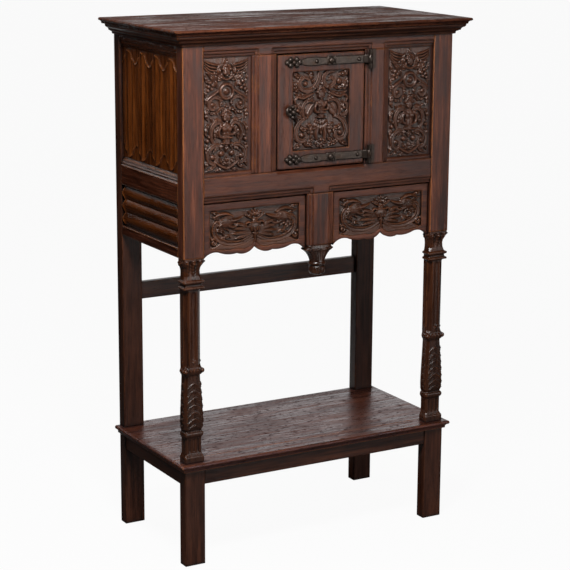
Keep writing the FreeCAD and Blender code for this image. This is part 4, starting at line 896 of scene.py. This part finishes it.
def strap(level):
    """A strap hinge: its bar, the flower at its end, a boss between two ribs, nails, and the eye."""
    top = DOOR_FACE - STRAP_THICK
    parts = [strap_bar(level)]
    parts += petals((FLOWER_X, level), (18.0, 8.0), 0, DOOR_FACE, 7.4, 7.5)
    parts.append(lobed_dome((FLOWER_X, level), DOOR_FACE - 1.0, 7.0, 8.5, 5, 0.12, rings=5, spokes=30))
    parts.append(lobed_dome((BOSS_X, level), top, 9.6, 8.0, 4, 0.06))
    for nail_x in NAILS_X:
        parts.append(lobed_dome((nail_x, level), top + 0.2, 5.6, 5.0, rings=4, spokes=20))
    for rib_x in RIBS_X:
        parts.append(turned((rib_x, top + 0.4, level), STRAP_RIB, Z, 12))
    parts.append(turned((HINGE_X, HINGE_Y, level), STRAP_EYE, Z))
    return joined(parts)


def latch():
    """A turn knob like a flower, its spindle, and the tongue that it turns behind the frame."""
    parts = [turned((LATCH_X, 0.0, LATCH_LEVEL), KNOB_PROFILE, Y)]
    parts += petals((LATCH_X, LATCH_LEVEL), (8.0, 13.0), 30, KNOB_PETALS_Y, 5.6, 9.0)
    rings = []
    for up, half in TONGUE_LEVELS:
        eased = half - 0.8
        outline = ((-half, -155.0), (-half, -158.0), (-eased, -158.5), (eased, -158.5),
                   (half, -158.0), (half, -155.0), (eased, -154.5), (-eased, -154.5))
        rings.append([(LATCH_X + x, y, LATCH_LEVEL + up) for x, y in outline])
    parts.append(lofted(rings))
    return joined(parts)


# Shader helpers

class Wire:
    """The output of a shader node, which further nodes add, multiply or take to another range."""

    def __init__(self, socket):
        self.socket = socket
        self.tree = socket.id_data

    def math(self, operation, other=0.0):
        return add(self.tree, "Math", {0: self, 1: other}, operation=operation)

    def __add__(self, other):
        return self.math("ADD", other)

    def __mul__(self, other):
        return self.math("MULTIPLY", other)

    def spread(self, low, high, start=0.0, end=1.0):
        """The value, taken from low..high to start..end and held there."""
        return add(self.tree, "MapRange", {"Value": self, "From Min": low, "From Max": high,
                                           "To Min": start, "To Max": end})


def feed(node, inputs):
    """Links the inputs of a node that are given a wire, and sets the others."""
    for key, value in inputs.items():
        if isinstance(value, Wire):
            value.tree.links.new(value.socket, node.inputs[key])
        else:
            node.inputs[key].default_value = value


def add(tree, kind, inputs=None, output=0, **settings):
    """A new shader node, as the wire from one of its outputs."""
    node = tree.nodes.new("ShaderNode" + kind)
    for key, value in settings.items():
        setattr(node, key, value)
    feed(node, inputs or {})
    return Wire(node.outputs[output])


def noise(place, scale, detail=2.0, roughness=0.5, distortion=0.0):
    return add(place.tree, "TexNoise", {"Vector": place, "Scale": scale, "Detail": detail,
                                        "Roughness": roughness, "Distortion": distortion}, "Fac")


def stretched(place, scales):
    return add(place.tree, "VectorMath", {0: place, 1: scales}, operation="MULTIPLY")


def dot(first, second):
    return add(first.tree, "VectorMath", {0: first, 1: second}, "Value", operation="DOT_PRODUCT")


def blended(share, first, second):
    """A mix of two colours; the numbers are those of the colour inputs and of the colour output."""
    return add(share.tree, "Mix", {0: share, 6: first, 7: second}, 2, data_type="RGBA")


def new_material(name):
    """A material, its node tree and its surface node."""
    material = bpy.data.materials.new(name)
    material.use_nodes = True
    return material, material.node_tree, material.node_tree.nodes["Principled BSDF"]


# Oak and iron

def colour(red, green, blue):
    return (red, green, blue, 1.0)


def grey(share):
    return colour(share, share, share)


def darker(tone, share):
    return tuple(share * part for part in tone[:3]) + (1.0,)


def stain(*tones):
    """The tones of stained oak as red, green, blue: of dark, middling and light grain, and where worn, a
    tone that also paints highlights on edges.
    """
    return dict(zip(("dark", "middle", "light", "worn"), (colour(*tone) for tone in tones)))


def deeper(tones, share):
    """A stain whose four tones are all darkened to a share of themselves."""
    return {name: darker(tone, share) for name, tone in tones.items()}


GRAIN = {"x": (0.055, 1.0, 1.0), "y": (1.0, 0.055, 1.0), "z": (1.0, 1.0, 0.055)}


def oak(name, axis, dark, middle, light, worn, carved=False, wear=1.0, gloss=(0.30, 0.46), shine=0.45,
        relief=0.35, mottle=0.0, least_wear=0.05, wax_tone=(1.0, 1.0, 1.0)):
    """Old stained and waxed oak with its grain along an axis, rubbed pale on edges, partly as painted
    highlight, and dark in hollows with dirt and painted shade.

    gloss gives the least and the greatest roughness, shine the strength of reflections and wax_tone their
    tint, relief the strength of the grain, mottle how much rougher the wood is where it has lost its wax,
    wear how strongly edges are rubbed pale where they are worn most, a pale that some finishes turn up as
    painted highlight, and least_wear the share of that elsewhere.
    """
    material, tree, surface = new_material(name)
    place = add(tree, "TexCoord", output="Object")
    piece = add(tree, "ObjectInfo", output="Random")
    shift = add(tree, "CombineXYZ", {0: piece, 1: piece * 7.3, 2: piece * 3.1})
    moved = add(tree, "VectorMath", {0: place, 1: shift}, operation="ADD")
    drawn = stretched(moved, GRAIN[axis])
    figure = noise(drawn, 24.0, 2.0, 0.5, 0.6)
    streak = noise(drawn, 95.0, 3.0, 0.6, 0.3)
    fibre = noise(drawn, 290.0, 3.0, 0.6)
    pores = noise(drawn, 780.0, 2.0, 0.6).spread(0.56, 0.7)
    cloud = noise(moved, 5.5, 3.0, 0.6)
    if mottle:
        flat = stretched(moved, (0.4, 1.0, 1.0))
        pits = noise(flat, 170.0, 3.0, 0.65).spread(0.56, 0.64)
        pores = pores + pits

    ramp = add(tree, "ValToRGB", {"Fac": figure * 0.25 + (streak * 0.5 + fibre * 0.25)})
    stops = ramp.socket.node.color_ramp.elements
    stops[0].position, stops[0].color = 0.40, dark
    stops[1].position, stops[1].color = 0.60, light
    stops.new(0.50).color = middle
    tone = blended(cloud.spread(0.42, 0.7, 0.0, 0.4), ramp, dark)
    tone = blended(piece * 0.22, tone, middle)
    tone = blended(pores * 0.6, tone, darker(dark, 0.35))

    grain = {"Height": fibre * 0.6 + pores * -0.7, "Strength": relief, "Distance": 0.0007}
    shelter = add(tree, "AmbientOcclusion", {"Distance": 0.014}, "AO", samples=6)
    # darker and rougher where ambient occlusion finds hollows, creases and gaps: dirt, and painted shade
    # where light is shut out
    dirt_and_shade = shelter.spread(0.35, 0.97, 0.8 if carved else 0.95, 0.0)
    # pale worn tone on edges, and on carving on its raised parts: rubbed wear, which where a finish turns
    # it up also paints highlights
    if carved:
        wear_and_highlight = add(tree, "NewGeometry", output="Pointiness").spread(0.505, 0.565)
    else:
        eased = add(tree, "Bevel", {"Radius": 0.006}, samples=6)
        wear_and_highlight = dot(eased, add(tree, "NewGeometry", output="Normal")).spread(0.988, 0.89)
        grain["Normal"] = eased
    patch = noise(moved, 26.0, 5.0, 0.7).spread(0.44, 0.66, least_wear, 1.0)
    wear_and_highlight = wear_and_highlight * patch * shelter.spread(0.6, 0.92, 0.0, 0.8 * wear)
    # the dark tone in hollows and gaps: dirt and painted shade
    tone = blended(dirt_and_shade, tone, darker(dark, 0.22))
    tone = blended(wear_and_highlight, tone, worn)

    rough = (streak * 0.6 + fibre * 0.4).spread(0.36, 0.64, *gloss) + dirt_and_shade * 0.25
    if mottle:
        lost = noise(flat, 9.0, 5.0, 0.7) * 0.55 + streak * 0.45
        rough = rough + lost.spread(0.44, 0.56, 0.0, mottle) + pits * 0.5
    feed(surface, {"Base Color": tone, "Roughness": rough, "Specular IOR Level": shine,
                   "Specular Tint": colour(*wax_tone), "Normal": add(tree, "Bump", grain)})
    return material


RUST = colour(0.055, 0.026, 0.014)


def wrought_iron(name, dark, light, rusted):
    """Blackened forged iron with hammer dents; rusted is how strongly its rust covers it in patches."""
    material, tree, surface = new_material(name)
    place = add(tree, "TexCoord", output="Object")
    dents = noise(place, 95.0)
    grit = noise(place, 620.0, 3.0, 0.6)
    rust = noise(place, 42.0, 4.0, 0.65).spread(0.54, 0.72)
    tone = blended(rust * rusted, blended(dents, dark, light), RUST)
    dented = {"Height": dents + grit * 0.2, "Strength": 0.5, "Distance": 0.0012}
    feed(surface, {"Base Color": tone, "Metallic": 0.7, "Roughness": grit.spread(0.3, 0.7, 0.26, 0.48),
                   "Normal": add(tree, "Bump", dented)})
    return material


IRON = wrought_iron("wrought_iron", colour(0.018, 0.0135, 0.011), colour(0.100, 0.074, 0.060), 0.8)
PIN_IRON = wrought_iron("pin_iron", colour(0.020, 0.014, 0.011), colour(0.060, 0.042, 0.033), 0.9)
STAIN = stain((0.032, 0.0084, 0.0039), (0.098, 0.0247, 0.0104), (0.195, 0.057, 0.026), (0.42, 0.14, 0.04))
CLOTH = stain((0.04, 0.0096, 0.0019), (0.112, 0.0272, 0.0044), (0.19, 0.051, 0.0085), (0.44, 0.15, 0.038))
BARE = stain((0.070, 0.040, 0.021), (0.150, 0.088, 0.045), (0.230, 0.142, 0.072), (0.290, 0.180, 0.094))
STAND = stain((0.027, 0.0086, 0.0046), (0.078, 0.0235, 0.0112), (0.14, 0.0415, 0.018),
              (0.34, 0.115, 0.035))
CARVING = stain((0.028, 0.0088, 0.0044), (0.068, 0.0206, 0.0092), (0.098, 0.032, 0.0142),
                (0.22, 0.082, 0.038))
COLUMN = stain((0.022, 0.0066, 0.0028), (0.068, 0.019, 0.0066), (0.12, 0.035, 0.0115),
               (0.26, 0.085, 0.026))
# tone of the wax that fills the carving
AMBER = (1.0, 0.90, 0.85)

FINISHES = {
    "oak": STAIN,
    # a darker copy of the stain as painted shade on the front rails and the door board, as on the top rail
    # under the cornice
    "painted_shade_oak": deeper(STAIN, 0.78),
    "post_oak": dict(STAIN, light=colour(0.270, 0.079, 0.036), wear=2.0, least_wear=0.75),
    "top_oak": dict(deeper(STAIN, 0.8), gloss=(0.26, 0.48), shine=0.21, relief=0.3, mottle=0.45),
    "platform_oak": dict(STAIN, gloss=(0.19, 0.30), shine=0.72, relief=0.2, mottle=0.19, wear=1.8,
                         least_wear=0.5, wax_tone=(1.0, 0.85, 1.0)),
    # the side rails' raised wear also paints the highlights along their sill beads
    "side_rail_oak": dict(deeper(STAIN, 0.75), gloss=(0.14, 0.28), shine=0.7, wear=1.5, least_wear=0.4),
    "cornice_end_oak": dict(STAIN, shine=0.12, wear=1.2, least_wear=0.3),
    # a darker copy of the stand's stain as painted shade on the rear posts, rear rails and cornice front
    "shaded_oak": dict(deeper(STAND, 0.7), shine=0.3, wear=0.8),
    "stand_oak": dict(STAND, wear=0.7),
    "inside_oak": dict(BARE, wear=0.4),
    # on the carvings the pale on raised parts is turned up partly as painted highlight
    "carved_oak": dict(CARVING, carved=True, gloss=(0.22, 0.38), shine=0.72, least_wear=0.35,
                       wax_tone=AMBER),
    "drawer_carving_oak": dict(COLUMN, carved=True, gloss=(0.20, 0.36), shine=0.66, least_wear=0.4,
                               wax_tone=AMBER),
    # the cloth's wear also paints the highlights on the hems at the folds' ends
    "cloth_oak": dict(CLOTH, carved=True, gloss=(0.20, 0.36), shine=0.32, wear=1.2, least_wear=0.15),
    "column_oak": dict(deeper(COLUMN, 0.85), carved=True, gloss=(0.22, 0.38), shine=0.5, least_wear=0.3),
    "pendant_oak": dict(deeper(COLUMN, 0.6), carved=True, gloss=(0.20, 0.34), shine=0.7, least_wear=0.3),
}


@cache
def wood(finish, axis):
    return oak(f"{finish}_along_{axis}", axis, **FINISHES[finish])


# Finish of the sub-parts, and edges rounded by use

# the first finish with a pattern that fits a sub-part's name is the one it has
NODE_FINISHES = (
    ("top_oak", ["top_board_*"]),
    ("platform_oak", ["platform_*"]),
    ("post_oak", ["post_front_*"]),
    # rear parts and the cornice front get a darker copy of the stand's stain as painted shade
    ("shaded_oak", ["post_rear_*", "rear_*_rail", "cornice_front"]),
    ("cornice_end_oak", ["cornice_*"]),
    ("side_rail_oak", ["side_*"]),
    ("inside_oak", ["runner_*", "back_board_*", "*_tray", "*_bottom", "cupboard_floor"]),
    ("stand_oak", ["base_*", "rear_stretcher"]),
    # the front rails and the door board get a darker copy of the stain as painted shade
    ("painted_shade_oak", ["door_board", "front_*_rail"]),
    ("oak", ["*"]),
)
IRON_NODES = [name for name in nodes if name.startswith(("hinge_", "door_latch"))]
# radius of the eased edges, by how a sub-part's name begins
EDGE_RADII = {"platform": 0.6, "top_board": 1.8, "post_": 1.8, "base_leg": 1.8, "": 1.1}


def finish_of(name):
    for finish, patterns in NODE_FINISHES:
        if any(fnmatch(name, pattern) for pattern in patterns):
            return finish


def grain_axis(name):
    """The way the grain runs in a sub-part: along its longest side."""
    low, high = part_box(name)
    return "xyz"[int(np.argmax(high - low))]


def ease_edges(part, radius):
    """Rounds the sharp edges of a sub-part without changing its own mesh."""
    weld = part.modifiers.new("weld", "WELD")
    weld.merge_threshold = 0.01 * MM
    flats = part.modifiers.new("flats", "DECIMATE")
    flats.decimate_type = "DISSOLVE"
    flats.angle_limit = math.radians(0.35)
    edges = part.modifiers.new("edges", "BEVEL")
    edges.width = radius * MM
    edges.segments = 2
    edges.limit_method = "ANGLE"
    edges.angle_limit = math.radians(34)
    part.modifiers.new("shading", "WEIGHTED_NORMAL")


for name, part in nodes.items():
    material = PIN_IRON if name in IRON_NODES else wood(finish_of(name), grain_axis(name))
    part.data.materials.clear()
    part.data.materials.append(material)
    if name not in IRON_NODES and name != "centre_pendant":
        ease_edges(part, next(radius for start, radius in EDGE_RADII.items() if name.startswith(start)))


# Carved and forged pieces

carve_door().piece("door_carving", "door", wood("carved_oak", "z"), DOOR_FIELD)
for side in SIDES:
    relief = carve_panel(f"front_panel_{side}", folded=side == "left")
    relief.piece(f"panel_carving_{side}", "carcass", wood("carved_oak", "z"), PANEL_FACE)
for side in SIDES:
    relief = carve_drawer(f"drawer_{side}_front")
    relief.piece(f"drawer_carving_{side}", f"drawer_{side}", wood("drawer_carving_oak", "x"), DRAWER_FIELD)
for side, sign in SIDES.items():
    for panel, axis in (("upper", "z"), ("lower", "y")):
        mesh_piece(f"linenfold_{side}_{panel}", "carcass", linenfold(sign, panel),
                   wood("cloth_oak", axis), f"side_{side}_{panel}_panel")
    mesh_piece(f"carved_column_{side}", "carcass", column(sign), wood("column_oak", "z"),
               f"column_front_{side}")
for place in ("upper", "lower"):
    node = f"hinge_strap_{place}"
    mesh_piece(f"forged_strap_{place}", "door", strap(centre_of(node, Z)), IRON, node)
mesh_piece("forged_latch", "latch", latch(), IRON, "door_latch")
mesh_piece("carved_pendant", "carcass", pendant(), wood("pendant_oak", "z"), "centre_pendant")


# Camera, at the photograph's viewpoint; from here on, places are in metres

def looking(place, aim):
    """The place and turn of something that stands at a place and looks at an aim."""
    place = Vector(place)
    turn = (Vector(aim) - place).to_track_quat("-Z", "Y")
    return Matrix.Translation(place) @ turn.to_matrix().to_4x4()


CAMERA_PLACE = (-2.4276, -4.1874, 1.8072)
CAMERA_TARGET = (0.0144, 0.0246, 0.6687)
CAMERA_ROLL = math.radians(0.35)
view = bpy.data.cameras.new("camera")
view.sensor_width = 36.0
view.lens = 115.1
camera = placed("camera", view)
camera.matrix_world = looking(CAMERA_PLACE, CAMERA_TARGET) @ Matrix.Rotation(CAMERA_ROLL, 4, "Z")
scene.camera = camera


# Floor, background and lights

FLOOR_REACH = 40.0
corners = [(x * FLOOR_REACH, y * FLOOR_REACH, 0.0) for x, y in ((-1, -1), (1, -1), (1, 1), (-1, 1))]
floor_mesh = bpy.data.meshes.new("floor")
floor_mesh.from_pydata(corners, [], [(0, 1, 2, 3)])
floor = placed("floor", floor_mesh)


def backdrop_rays(tree, hung):
    """1 for rays that see the white paper: camera rays, and reflected ones where it really hangs."""
    seen = add(tree, "LightPath", output="Is Camera Ray")
    glossy = add(tree, "LightPath", output="Is Glossy Ray")
    through = add(tree, "LightPath", output="Is Transmission Ray")
    return (seen + (glossy + through) * hung).spread(0.0, 1.0)


paper, paper_tree, surface = new_material("floor_paper")
paper_tree.nodes.remove(surface)
ground = add(paper_tree, "TexCoord", output="Object")
PAPER_MIDDLE = 1.0
aside = add(paper_tree, "SeparateXYZ", {0: ground}, "X").math("SUBTRACT", PAPER_MIDDLE).math("ABSOLUTE")
back = add(paper_tree, "SeparateXYZ", {0: ground}, "Y")
# the paper lies behind the cabinet, and the dark floor has a paler strip before it that throws light back
paper_seen = backdrop_rays(paper_tree, aside.spread(1.6, 0.9) * back.spread(0.4, 1.2))
before = back.spread(-0.1, -0.4) * back.spread(-3.0, -2.0)
paper_tone = blended(paper_seen, blended(before, grey(0.06), grey(0.24)), grey(0.92))
matt = add(paper_tree, "BsdfDiffuse", {"Color": paper_tone})
white = add(paper_tree, "Emission", {"Color": grey(1.0), "Strength": 1.0})
shown = add(paper_tree, "MixShader", {0: paper_seen * 0.95, 1: matt, 2: white})
feed(paper_tree.nodes["Material Output"], {"Surface": shown})
floor_mesh.materials.append(paper)

# The backdrop hangs behind the cabinet, across the line of sight.
BACKDROP = Vector((0.50, 0.85, 0.16)).normalized()
world = bpy.data.worlds.new("studio")
scene.world = world
world.use_nodes = True
sky = world.node_tree
facing = dot(add(sky, "TexCoord", output="Generated"), BACKDROP)
sky_seen = backdrop_rays(sky, facing.spread(0.90, 0.97))
feed(sky.nodes["Background"], {"Color": grey(1.0), "Strength": sky_seen.spread(0.0, 1.0, 0.010, 1.0)})


def softbox(name, place, aim, size, watts):
    lamp = bpy.data.lights.new(name, "AREA")
    lamp.shape = "RECTANGLE"
    lamp.size, lamp.size_y = size
    lamp.energy = watts
    placed(name, lamp).matrix_world = looking(place, aim)


softbox("key_light", (-0.8, -1.05, 2.05), (-0.1, -0.15, 1.05), (0.45, 0.45), 28.0)
softbox("front_card", (1.9, -4.4, 1.1), (0.0, -0.2, 1.0), (2.2, 2.0), 40.0)
softbox("top_light", (-0.3, 0.2, 3.6), (0.0, 0.0, 1.0), (2.0, 1.2), 10.0)
softbox("back_light", (-1.7, 2.3, 2.3), (0.0, 0.2, 0.9), (1.0, 1.0), 14.0)
softbox("floor_bounce", (-1.5, 0.1, 0.2), (-0.4, 0.1, 1.4), (0.8, 0.8), 0.5)

scene.view_settings.view_transform = "Standard"
